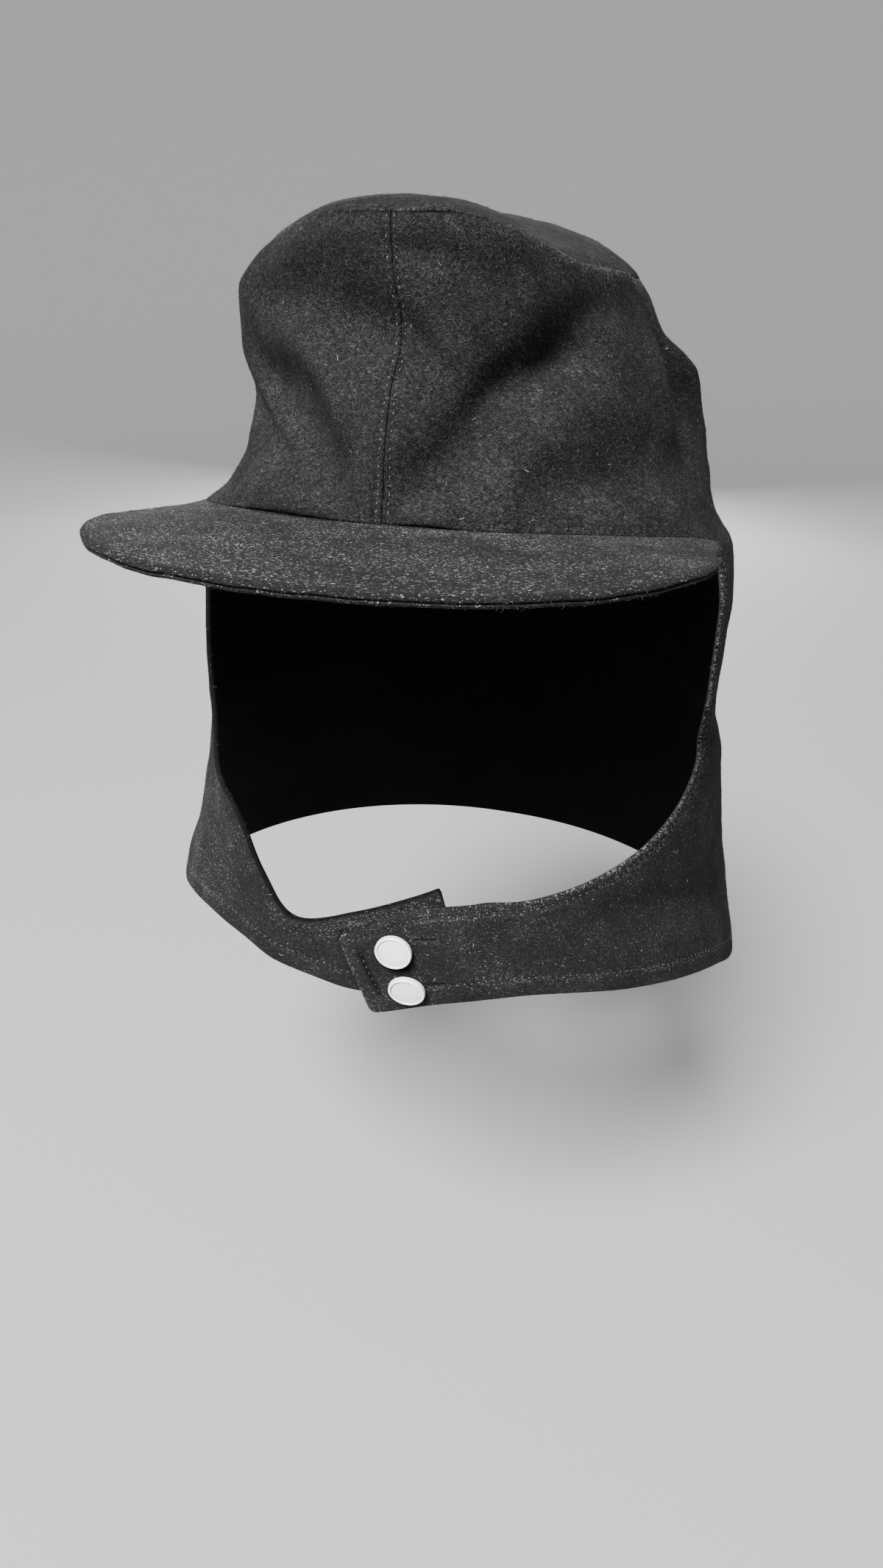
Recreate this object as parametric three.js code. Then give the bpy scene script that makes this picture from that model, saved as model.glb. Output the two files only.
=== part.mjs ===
// A soft peaked cap of felted wool with its neck and ear curtain let down and buttoned under the chin.
// Millimetres. +Z is up, the wearer faces -Y, and +X is the wearer's left.
// The origin is the middle of the band line, where a head holds the cap.
//
// Every surface is worked out from a turn round the head, in degrees: 0 at the front, 90 at the wearer's
// left ear, -90 at the right ear and 180 at the back.
import * as THREE from 'three';

// Cloth and seams
const CROWN_WALL = 2.5;
const CURTAIN_WALL = 3.2;
const PEAK_WALL = 3.5;
const SEAM_GAP = 0.3;
const BACK_TURN = 180;

// How finely the surfaces are divided
const HALF_STEPS = 30;
const FRONT_SHARE = 0.38;
const CROWN_ROWS = 14;
const TIP_RINGS = 5;
const PEAK_ROWS = 4;
const CURTAIN_STEPS = 30;
const CURTAIN_ROWS = 9;

// Height of the band line, where the crown meets the peak and the curtain
const BAND_LINE = [
  { turn: 0, up: 8.3 },
  { turn: 30, up: 7.2 },
  { turn: 60, up: 3.4 },
  { turn: 85, up: -3 },
  { turn: 120, up: -4 },
  { turn: 180, up: -4 },
];

// Crown sections, as a share of the way from the band line to the top seam
const CROWN_SECTIONS = [
  { share: 0.00, left: 97.0, right: 96.5, front: 103.5, back: 105.0 },
  { share: 0.10, left: 91.0, right: 84.5, front: 104.5, back: 103.5 },
  { share: 0.25, left: 86.0, right: 78.0, front: 101.5, back: 101.5 },
  { share: 0.45, left: 79.0, right: 77.0, front: 96.0, back: 99.0 },
  { share: 0.65, left: 71.5, right: 80.5, front: 93.0, back: 97.0 },
  { share: 0.82, left: 62.0, right: 79.5, front: 94.5, back: 94.0 },
  { share: 0.94, left: 54.5, right: 71.5, front: 96.5, back: 90.0 },
  { share: 1.00, left: 50.5, right: 64.5, front: 96.0, back: 86.0 },
];

// Height of the seam between the side panels and the top panel
const TOP_SEAM = [
  { turn: -180, up: 80 },
  { turn: -90, up: 86.5 },
  { turn: -45, up: 88.5 },
  { turn: -18, up: 90.5 },
  { turn: 0, up: 89.5 },
  { turn: 30, up: 86 },
  { turn: 55, up: 80.5 },
  { turn: 80, up: 82.5 },
  { turn: 120, up: 82 },
  { turn: 180, up: 80 },
];

// The domed top panel, round a middle that leans to the wearer's right
const TIP_MIDDLE = { x: -12, y: -6, up: 101 };
const TIP_SHOULDER = 1.14;

// Folds of the soft crown. Each row is one stretch of a fold, from one place to another; stretches with
// the same name join up. A negative depth is a valley and a positive one is a ridge.
const FOLD_RADIUS = 90;
const FOLDS = [
  { name: 'long valley', turn: 2, up: 17, toTurn: 13, toUp: 34, width: 7, depth: -3, toDepth: -6 },
  { name: 'long valley', turn: 13, up: 34, toTurn: 24, toUp: 54, width: 9, depth: -6, toDepth: -9 },
  { name: 'long valley', turn: 24, up: 54, toTurn: 38, toUp: 65, width: 9, depth: -9, toDepth: -8 },
  { name: 'long valley', turn: 38, up: 65, toTurn: 64, toUp: 74, width: 7, depth: -8, toDepth: -2 },
  { name: 'side branch', turn: 27, up: 54, toTurn: 46, toUp: 54, width: 6, depth: -4, toDepth: -1 },
  { name: 'right valley', turn: -34, up: 58, toTurn: -29, toUp: 50, width: 6.5, depth: -1, toDepth: -3.5 },
  { name: 'right valley', turn: -29, up: 50, toTurn: -16, toUp: 38, width: 6, depth: -3.5, toDepth: -4 },
  { name: 'right valley', turn: -16, up: 38, toTurn: -5, toUp: 20, width: 5.5, depth: -4, toDepth: -2.5 },
  { name: 'outer valley', turn: -38, up: 38, toTurn: -18, toUp: 17, width: 4.5, depth: -2, toDepth: -2 },
  { name: 'short valley', turn: 2.5, up: 63, toTurn: 11, toUp: 52, width: 4.5, depth: -1.5, toDepth: -2 },
  { name: 'upper hollow', turn: -20, up: 79, toTurn: -3, toUp: 66, width: 13, depth: -3, toDepth: -3 },
  { name: 'lower hollow', turn: 27, up: 21, toTurn: 62, toUp: 33, width: 9, depth: -2.5, toDepth: -3 },
  { name: 'top edge ridge', turn: 28, up: 86, toTurn: 74, toUp: 82, width: 5, depth: 1.5, toDepth: 2.5 },
  { name: 'ear hollow', turn: 72, up: 52, toTurn: 79, toUp: 40, width: 6, depth: -6, toDepth: -3 },
  { name: 'ear bulge', turn: 94, up: 50, toTurn: 99, toUp: 34, width: 10, depth: 6, toDepth: 3.5 },
];

// Outline of the peak, as a reach from a middle point under the crown
const PEAK_MIDDLE_Y = -60;
const PEAK_END_TURN = 75;
const PEAK_DROP_START = 0.7;
const PEAK_OUTLINE = [
  { angle: 0, reach: 104, up: 2 },
  { angle: 20, reach: 107, up: 2.5 },
  { angle: 40, reach: 109.5, up: 3.5 },
  { angle: 55, reach: 107.5, up: 4.5 },
  { angle: 70, reach: 101.5, up: 3.5 },
  { angle: 90, reach: 94.5, up: 0.5 },
  { angle: 110, reach: 100, up: -2.5 },
];

// Loops of the curtain, down from the band line
const CURTAIN_LOOPS = [
  { up: 0, left: 97.0, right: 96.5, front: 103.5, back: 105 },
  { up: -12, left: 99.8, right: 99.5, front: 103.3, back: 106 },
  { up: -25, left: 101.2, right: 101.5, front: 103, back: 107 },
  { up: -55, left: 100.6, right: 101.5, front: 101, back: 108 },
  { up: -70, left: 100.8, right: 100.5, front: 101, back: 108.5 },
  { up: -80, left: 103.8, right: 100.0, front: 101, back: 109 },
  { up: -105, left: 108.0, right: 104.0, front: 100.5, back: 111 },
  { up: -125, left: 111.0, right: 108.5, front: 100.5, back: 112 },
  { up: -150, left: 115.5, right: 117.0, front: 100.5, back: 114 },
  { up: -180, left: 122.0, right: 125.0, front: 101, back: 117 },
];

// Edges of the curtain on each side, from the middle of the back to the end of the front tab.
// The upper edge is sewn to the band line as far as its front corner, and is free from there.
const SEWN = 'sewn';
const CURTAIN_LEFT = [
  { along: 0 / 30, turn: 180, up: SEWN, hemTurn: 180, hemUp: -176 },
  { along: 10 / 30, turn: 75, up: SEWN, hemTurn: 110, hemUp: -176 },
  { along: 13 / 30, turn: 78.5, up: -28, hemTurn: 97, hemUp: -174.5 },
  { along: 16 / 30, turn: 80, up: -56, hemTurn: 85, hemUp: -170 },
  { along: 18 / 30, turn: 76.5, up: -69, hemTurn: 75, hemUp: -164 },
  { along: 20 / 30, turn: 66, up: -82.5, hemTurn: 63, hemUp: -159.3 },
  { along: 23 / 30, turn: 47, up: -101.6, hemTurn: 47, hemUp: -155 },
  { along: 26 / 30, turn: 27, up: -114.3, hemTurn: 28, hemUp: -151.8 },
  { along: 28 / 30, turn: 9, up: -116.6, hemTurn: 12, hemUp: -156 },
  { along: 30 / 30, turn: -8.5, up: -136, hemTurn: -1.5, hemUp: -164.6 },
];
const CURTAIN_RIGHT = [
  { along: 0 / 30, turn: -180, up: SEWN, hemTurn: -180, hemUp: -176 },
  { along: 10 / 30, turn: -76.5, up: SEWN, hemTurn: -106, hemUp: -172.5 },
  { along: 13 / 30, turn: -71, up: -30, hemTurn: -89, hemUp: -166.5 },
  { along: 16 / 30, turn: -64, up: -58, hemTurn: -74, hemUp: -159.5 },
  { along: 18 / 30, turn: -60, up: -82, hemTurn: -63, hemUp: -156 },
  { along: 20 / 30, turn: -53, up: -94, hemTurn: -53, hemUp: -152.3 },
  { along: 22 / 30, turn: -38, up: -103.5, hemTurn: -42, hemUp: -150.2 },
  { along: 24 / 30, turn: -28, up: -119.5, hemTurn: -32, hemUp: -151 },
  { along: 26 / 30, turn: -17.5, up: -133.5, hemTurn: -21, hemUp: -155.4 },
  { along: 28 / 30, turn: -6, up: -124, hemTurn: -7, hemUp: -159.2 },
  { along: 30 / 30, turn: 10.5, up: -112, hemTurn: 16, hemUp: -150 },
];

// The right tab passes under the left one
const TAB_TUCK = CURTAIN_WALL + 0.5;
const TUCK_START_TURN = -24;
const TUCK_END_TURN = -11;

// Buttons: a disc with a raised rim round a sunk face, on a short foot. A negative tip faces downwards.
const BUTTON_RADIUS = 6.9;
const BUTTON_RIM = 1.1;
const BUTTON_THICKNESS = 2.2;
const BUTTON_SINK = 0.5;
const BUTTON_EDGE = 0.5;
const BUTTON_FOOT_RADIUS = 3;
const BUTTON_FOOT = 0.9;
const BUTTON_SIDES = 24;
const BUTTONS = [
  { name: 'button_upper', turn: 2.6, up: -135.2, tip: -2 },
  { name: 'button_lower', turn: 4.8, up: -150, tip: -12 },
];

const WOOL = { color: 0x1b1b1e, roughness: 0.95, metalness: 0 };
const PEAK_WOOL = { color: 0x202023, roughness: 0.95, metalness: 0 };
const CURTAIN_WOOL = { color: 0x19191c, roughness: 0.95, metalness: 0 };
const ALUMINIUM = { color: 0xd9dadd, roughness: 0.42, metalness: 0.85 };

const radians = THREE.MathUtils.degToRad;
const clamp = THREE.MathUtils.clamp;
const lerp = THREE.MathUtils.lerp;

// A smooth curve through one column of a table, without overshoot between its rows
function through(rows, along, column, at) {
  const last = rows.length - 1;
  const t = clamp(at, rows[0][along], rows[last][along]);
  let i = 0;
  while (i < last - 1 && t > rows[i + 1][along]) i += 1;
  const slope = (k) => (rows[k + 1][column] - rows[k][column]) / (rows[k + 1][along] - rows[k][along]);
  const tangent = (k) => {
    if (k === 0) return slope(0);
    if (k === last) return slope(last - 1);
    const before = slope(k - 1);
    const after = slope(k);
    return before * after <= 0 ? 0 : 2 * before * after / (before + after);
  };
  const span = rows[i + 1][along] - rows[i][along];
  const u = (t - rows[i][along]) / span;
  const v = 1 - u;
  return rows[i][column] * v * v * (1 + 2 * u)
    + tangent(i) * span * u * v * v
    + rows[i + 1][column] * u * u * (1 + 2 * v)
    - tangent(i + 1) * span * u * u * v;
}

const bandLineUp = (turn) => through(BAND_LINE, 'turn', 'up', Math.abs(turn));
const topSeamUp = (turn) => through(TOP_SEAM, 'turn', 'up', turn);

// A point on the oval that a table row gives at one height or share
function ovalPoint(rows, along, at, turn, up) {
  const side = through(rows, along, turn > 0 ? 'left' : 'right', at);
  const end = through(rows, along, Math.cos(radians(turn)) > 0 ? 'front' : 'back', at);
  return new THREE.Vector3(side * Math.sin(radians(turn)), -end * Math.cos(radians(turn)), up);
}

// How far the folds push the crown out at a place
function foldDepth(turn, up) {
  const strongest = new Map();
  for (const fold of FOLDS) {
    const fromX = radians(fold.turn) * FOLD_RADIUS;
    const runX = radians(fold.toTurn) * FOLD_RADIUS - fromX;
    const runY = fold.toUp - fold.up;
    const x = radians(turn) * FOLD_RADIUS - fromX;
    const y = up - fold.up;
    const share = clamp((x * runX + y * runY) / (runX * runX + runY * runY), 0, 1);
    const distance = Math.hypot(x - share * runX, y - share * runY);
    const depth = lerp(fold.depth, fold.toDepth, share) * Math.exp(-((distance / fold.width) ** 2));
    const before = strongest.get(fold.name) ?? 0;
    if (Math.abs(depth) > Math.abs(before)) strongest.set(fold.name, depth);
  }
  return [...strongest.values()].reduce((sum, depth) => sum + depth, 0);
}

// The crown's outer surface; the folds fade out at the band line
function crownPoint(turn, share) {
  const up = lerp(bandLineUp(turn), topSeamUp(turn), share);
  const point = ovalPoint(CROWN_SECTIONS, 'share', share, turn, up);
  const fade = clamp(share / 0.12, 0, 1);
  const push = foldDepth(turn, up) * fade;
  point.x += push * Math.sin(radians(turn));
  point.y -= push * Math.cos(radians(turn));
  return point;
}

// The top panel's outer surface: lift goes from 0 degrees at its seam to 90 at its middle
function tipPoint(turn, lift) {
  const edge = crownPoint(turn, 1);
  const reach = Math.cos(radians(lift));
  const rise = Math.sin(radians(lift)) ** TIP_SHOULDER;
  return new THREE.Vector3(
    lerp(TIP_MIDDLE.x, edge.x, reach),
    lerp(TIP_MIDDLE.y, edge.y, reach),
    lerp(edge.z, TIP_MIDDLE.up, rise) + SEAM_GAP,
  );
}

// The curtain's outer surface; the right tab is tucked in under the left one
function curtainPoint(turn, up, tuck) {
  const point = ovalPoint([...CURTAIN_LOOPS].reverse(), 'up', up, turn, up);
  point.x -= tuck * Math.sin(radians(turn));
  point.y += tuck * Math.cos(radians(turn));
  return point;
}

// Outward normal of a surface given as a function of two values
function normalAt(surface, a, b, stepA, stepB) {
  const alongA = surface(a + stepA, b).sub(surface(a - stepA, b));
  const alongB = surface(a, b + stepB).sub(surface(a, b - stepB));
  return alongA.cross(alongB).normalize();
}

const levelNormal = (turn) => new THREE.Vector3(Math.sin(radians(turn)), -Math.cos(radians(turn)), 0);

// A closed wall between an outer and an inner grid of points, both given row by row
function wallGeometry(outer, inner) {
  const rows = outer.length;
  const columns = outer[0].length;
  const points = [...outer.flat(), ...inner.flat()];
  const faces = [];
  const quad = (a, b, c, d) => faces.push(a, b, c, a, c, d);
  const out = (row, column) => row * columns + column;
  const into = (row, column) => rows * columns + row * columns + column;
  for (let row = 0; row < rows - 1; row += 1) {
    for (let column = 0; column < columns - 1; column += 1) {
      quad(out(row, column), out(row, column + 1), out(row + 1, column + 1), out(row + 1, column));
      quad(into(row, column), into(row + 1, column), into(row + 1, column + 1), into(row, column + 1));
    }
    const end = columns - 1;
    quad(out(row, 0), out(row + 1, 0), into(row + 1, 0), into(row, 0));
    quad(out(row, end), into(row, end), into(row + 1, end), out(row + 1, end));
  }
  for (let column = 0; column < columns - 1; column += 1) {
    const top = rows - 1;
    quad(out(0, column), into(0, column), into(0, column + 1), out(0, column + 1));
    quad(out(top, column), out(top, column + 1), into(top, column + 1), into(top, column));
  }
  return closedGeometry(points, faces);
}

function closedGeometry(points, faces) {
  const geometry = new THREE.BufferGeometry();
  geometry.setAttribute('position', new THREE.Float32BufferAttribute(points.flatMap((p) => [p.x, p.y, p.z]), 3));
  geometry.setIndex(faces);
  geometry.computeVertexNormals();
  return geometry;
}

// Turns of one half, closer together at the front where the folds are
function halfTurns() {
  return Array.from({ length: HALF_STEPS + 1 }, (_, i) => {
    const t = i / HALF_STEPS;
    return BACK_TURN * (FRONT_SHARE * t + (1 - FRONT_SHARE) * t * t);
  });
}

// One side panel, from the front seam to the back seam, with a level edge at the band line
function crownPanel(side) {
  const outer = [];
  const inner = [];
  for (let row = 0; row <= CROWN_ROWS; row += 1) {
    const share = row / CROWN_ROWS;
    const outerRow = [];
    const innerRow = [];
    for (const turn of halfTurns()) {
      const point = crownPoint(side * turn, share);
      const normal = row === 0 ? levelNormal(side * turn) : normalAt(crownPoint, side * turn, share, 0.5, 0.01);
      const behind = point.clone().addScaledVector(normal, -CROWN_WALL);
      if (turn === 0 || turn === BACK_TURN) {
        point.x = side * SEAM_GAP / 2;
        behind.x = side * SEAM_GAP / 2;
      }
      outerRow.push(point);
      innerRow.push(behind);
    }
    if (side < 0) {
      outerRow.reverse();
      innerRow.reverse();
    }
    outer.push(outerRow);
    inner.push(innerRow);
  }
  return wallGeometry(outer, inner);
}

// The top panel: rings from its seam to one middle point, on the outside and on the inside
function crownTip() {
  const half = halfTurns();
  const turns = [...half.slice(1).reverse().map((t) => -t), ...half.slice(0, -1)];
  const count = turns.length;
  const points = [];
  for (const depth of [0, CROWN_WALL]) {
    for (let ring = 0; ring < TIP_RINGS; ring += 1) {
      const lift = 90 * (ring / TIP_RINGS) ** 1.25;
      for (const turn of turns) {
        const point = tipPoint(turn, lift);
        const normal = ring === 0
          ? normalAt(crownPoint, turn, 1, 0.5, 0.01)
          : normalAt(tipPoint, turn, lift, 0.5, 1);
        points.push(point.addScaledVector(normal, -depth));
      }
    }
    points.push(new THREE.Vector3(TIP_MIDDLE.x, TIP_MIDDLE.y, TIP_MIDDLE.up + SEAM_GAP - depth));
  }
  const faces = [];
  const layer = TIP_RINGS * count + 1;
  const at = (depth, ring, column) => depth * layer + ring * count + (column % count);
  for (let column = 0; column < count; column += 1) {
    const next = column + 1;
    for (let ring = 0; ring < TIP_RINGS - 1; ring += 1) {
      faces.push(at(0, ring, column), at(0, ring, next), at(0, ring + 1, next));
      faces.push(at(0, ring, column), at(0, ring + 1, next), at(0, ring + 1, column));
      faces.push(at(1, ring, column), at(1, ring + 1, next), at(1, ring, next));
      faces.push(at(1, ring, column), at(1, ring + 1, column), at(1, ring + 1, next));
    }
    faces.push(at(0, TIP_RINGS - 1, column), at(0, TIP_RINGS - 1, next), layer - 1);
    faces.push(at(1, TIP_RINGS - 1, next), at(1, TIP_RINGS - 1, column), 2 * layer - 1);
    faces.push(at(0, 0, column), at(1, 0, column), at(1, 0, next));
    faces.push(at(0, 0, column), at(1, 0, next), at(0, 0, next));
  }
  return closedGeometry(points, faces);
}

// The peak: its inner margin lies under the crown's edge, and it runs out to its outline on rays
// from the middle point
function peak() {
  const front = halfTurns().filter((turn) => turn <= PEAK_END_TURN);
  const turns = [...front.slice(1).reverse().map((t) => -t), ...front];
  const upper = [];
  const lower = [];
  for (let row = 0; row <= PEAK_ROWS + 1; row += 1) {
    const upperRow = [];
    const lowerRow = [];
    for (const turn of turns) {
      const rim = crownPoint(turn, 0);
      rim.z -= SEAM_GAP;
      const inside = rim.clone().addScaledVector(levelNormal(turn), -CROWN_WALL);
      const angle = Math.atan2(rim.x, PEAK_MIDDLE_Y - rim.y);
      const degrees = Math.abs(THREE.MathUtils.radToDeg(angle));
      const reach = through(PEAK_OUTLINE, 'angle', 'reach', degrees);
      const edge = new THREE.Vector3(
        reach * Math.sin(angle),
        PEAK_MIDDLE_Y - reach * Math.cos(angle),
        through(PEAK_OUTLINE, 'angle', 'up', degrees),
      );
      const share = Math.max(0, (row - 1) / PEAK_ROWS);
      const point = row === 0 ? inside : rim.clone().lerp(edge, share);
      if (row > 0) {
        const drop = PEAK_DROP_START * share + (1 - PEAK_DROP_START) * share * share;
        point.z = lerp(rim.z, edge.z, drop);
      }
      upperRow.push(point);
      lowerRow.push(new THREE.Vector3(point.x, point.y, point.z - PEAK_WALL));
    }
    upper.push(upperRow);
    lower.push(lowerRow);
  }
  return wallGeometry(upper.reverse(), lower.reverse());
}

// The curtain: columns from its upper edge down to its hem, from the right tab round to the left one
function curtain() {
  const columns = [];
  for (const [rows, side] of [[CURTAIN_RIGHT, -1], [CURTAIN_LEFT, 1]]) {
    const half = [];
    for (let step = side < 0 ? 0 : 1; step <= CURTAIN_STEPS; step += 1) {
      half.push(curtainColumn(rows, side, step / CURTAIN_STEPS));
    }
    if (side < 0) half.reverse();
    columns.push(...half);
  }
  const outer = [];
  const inner = [];
  for (let row = CURTAIN_ROWS; row >= 0; row -= 1) {
    outer.push(columns.map((column) => column[row].outer).reverse());
    inner.push(columns.map((column) => column[row].inner).reverse());
  }
  return wallGeometry(outer, inner);
}

function curtainColumn(rows, side, along) {
  const sewnRows = rows.map((row) => ({ ...row, up: row.up === SEWN ? bandLineUp(row.turn) : row.up }));
  const [topTurn, topUp, hemTurn, hemUp] = ['turn', 'up', 'hemTurn', 'hemUp']
    .map((column) => through(sewnRows, 'along', column, along));
  const sewn = along <= rows[1].along;
  const column = [];
  for (let row = 0; row <= CURTAIN_ROWS; row += 1) {
    const share = row / CURTAIN_ROWS;
    const turn = lerp(topTurn, hemTurn, share);
    const up = lerp((sewn ? bandLineUp(topTurn) : topUp) - SEAM_GAP, hemUp, share);
    const tucked = THREE.MathUtils.smoothstep(turn, TUCK_START_TURN, TUCK_END_TURN);
    const tuck = side < 0 && turn > TUCK_START_TURN ? TAB_TUCK * tucked : 0;
    const surface = (a, b) => curtainPoint(a, b, tuck);
    const outer = surface(turn, up);
    const normal = row === 0 && sewn ? levelNormal(turn) : normalAt(surface, turn, up, 0.5, 1);
    const inner = outer.clone().addScaledVector(normal, -CURTAIN_WALL);
    column.push({ outer, inner });
  }
  return column;
}

// One button, turned about its own axis from its foot up
function buttonGeometry() {
  const top = BUTTON_FOOT + BUTTON_THICKNESS;
  const face = BUTTON_RADIUS - BUTTON_RIM;
  const profile = [
    [0, 0],
    [BUTTON_FOOT_RADIUS, 0],
    [BUTTON_FOOT_RADIUS, BUTTON_FOOT],
    [BUTTON_RADIUS, BUTTON_FOOT],
    [BUTTON_RADIUS, top - BUTTON_EDGE],
    [BUTTON_RADIUS - BUTTON_EDGE, top],
    [face, top],
    [face - BUTTON_EDGE, top - BUTTON_SINK],
    [0, top - BUTTON_SINK],
  ].map(([radius, height]) => new THREE.Vector2(radius, height));
  return new THREE.LatheGeometry(profile, BUTTON_SIDES);
}

// A button stands on the left tab, its foot just clear of the cloth
function button({ name, turn, up, tip }) {
  const mesh = piece(name, buttonGeometry(), ALUMINIUM);
  const level = levelNormal(turn);
  const outward = level.clone();
  outward.z = Math.tan(radians(tip));
  mesh.quaternion.setFromUnitVectors(new THREE.Vector3(0, 1, 0), outward.normalize());
  const lift = BUTTON_FOOT_RADIUS * Math.sin(radians(Math.abs(tip)));
  mesh.position.copy(curtainPoint(turn, up, 0)).addScaledVector(level, SEAM_GAP + lift);
  return mesh;
}

function piece(name, geometry, finish) {
  const mesh = new THREE.Mesh(geometry, new THREE.MeshStandardMaterial(finish));
  mesh.name = name;
  return mesh;
}

const kepi = new THREE.Group();
kepi.name = 'kepi';
kepi.add(piece('crown_left', crownPanel(1), WOOL));
kepi.add(piece('crown_right', crownPanel(-1), WOOL));
kepi.add(piece('crown_tip', crownTip(), WOOL));
kepi.add(piece('peak', peak(), PEAK_WOOL));
kepi.add(piece('curtain', curtain(), CURTAIN_WOOL));
for (const spec of BUTTONS) kepi.add(button(spec));

export default kepi;
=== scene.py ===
# A soft peaked cap of black felted wool, with its neck and ear curtain let down and buttoned under the chin.
# Shapes are worked out in millimetres, from a turn round the head in degrees: 0 at the front, 90 at the
# wearer's left ear and 180 at the back. They become metres where a mesh is made.
import math
import bpy
import numpy as np
from mathutils import Matrix, Vector
from mathutils.geometry import delaunay_2d_cdt
from mathutils.kdtree import KDTree


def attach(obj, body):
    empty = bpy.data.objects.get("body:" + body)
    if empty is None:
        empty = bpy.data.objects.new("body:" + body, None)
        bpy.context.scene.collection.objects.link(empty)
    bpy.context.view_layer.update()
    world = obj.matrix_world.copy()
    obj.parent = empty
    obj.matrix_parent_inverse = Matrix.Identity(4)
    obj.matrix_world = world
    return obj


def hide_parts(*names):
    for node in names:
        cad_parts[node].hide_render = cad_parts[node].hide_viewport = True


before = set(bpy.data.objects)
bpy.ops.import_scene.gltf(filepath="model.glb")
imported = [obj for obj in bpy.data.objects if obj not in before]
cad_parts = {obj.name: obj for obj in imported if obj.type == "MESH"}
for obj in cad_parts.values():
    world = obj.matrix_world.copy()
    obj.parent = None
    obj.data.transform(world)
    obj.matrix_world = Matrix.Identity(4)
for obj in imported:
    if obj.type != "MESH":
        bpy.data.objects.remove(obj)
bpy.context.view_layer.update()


# Crown side panels
# Two shaped panels of felted wool, sewn together down the front and down the back. Both seams are pressed
# open and topstitched on each side, and the loose crown has slumped into folds over the forehead.
MM = 0.001
TINY = 1e-9
CROWN_WALL = 2.5
CROWN_HEIGHT = 86
CLOTH_RIPPLE = 0.45
MM_PER_TURN = 1.75
PEAK_END_TURN = 74.6
# Radii of the turned edges along the seams, and how far the pieces lap there
SEAM_ROLL = 0.6
TOP_ROLL = 0.35
BAND_ROLL = 0.35
SEAM_LAP = 0.05
PRESSED_LAP = 0.1
# The topstitching beside a seam, and the swell over the seam allowance under it
SEAM_STITCH_IN = 1.8
STITCH_GROOVE = 0.32
SEAM_ALLOWANCE = 6
ALLOWANCE_SWELL = 0.25
# Turns from the front between which the groove of the top seam dies away
TOP_GROOVE_FADES = (12, 32)
# Turn, half width and depth of each place where the crown tucks in over the peak
TUCKS = [(-21, 11, 2.3), (7, 4.5, 1.7)]

# Height of the band line, where the crown meets the peak and the curtain
BAND_LINE = {
    "turn": [0, 30, 60, 85, 120, 180],
    "up": [8.3, 7.2, 3.4, -3, -4, -4],
}
# Crown sections, as a share of the way from the band line to the top seam
CROWN_SECTIONS = {
    "share": [0.00, 0.10, 0.25, 0.45, 0.65, 0.82, 0.94, 1.00],
    "left": [97.0, 91.0, 86.0, 79.0, 71.5, 63.5, 58.5, 55.0],
    "right": [96.5, 84.5, 77.0, 75.5, 81.0, 81.0, 71.5, 63.5],
    "front": [103.5, 104.5, 101.5, 96.0, 93.0, 94.5, 96.5, 96.0],
    "back": [105.0, 103.5, 101.5, 99.0, 97.0, 94.0, 90.0, 86.0],
}
# Height of the seam between the side panels and the top panel
TOP_SEAM = {
    "turn": [-180, -90, -45, -18, 0, 16, 30, 42, 55, 80, 120, 180],
    "up": [80, 86, 87.3, 89.5, 89.5, 89.9, 88, 83.5, 80.5, 79.7, 81, 80],
}
# How far the front seam wanders from the middle, and how far from it the cloth follows
SEAM_DRIFT = {
    "up": [8, 31, 45, 57, 66, 76, 89],
    "aside": [0, -0.4, -0.5, 0.2, 0.3, -0.7, -1.1],
}
DRIFT_REACH = 12
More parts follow.
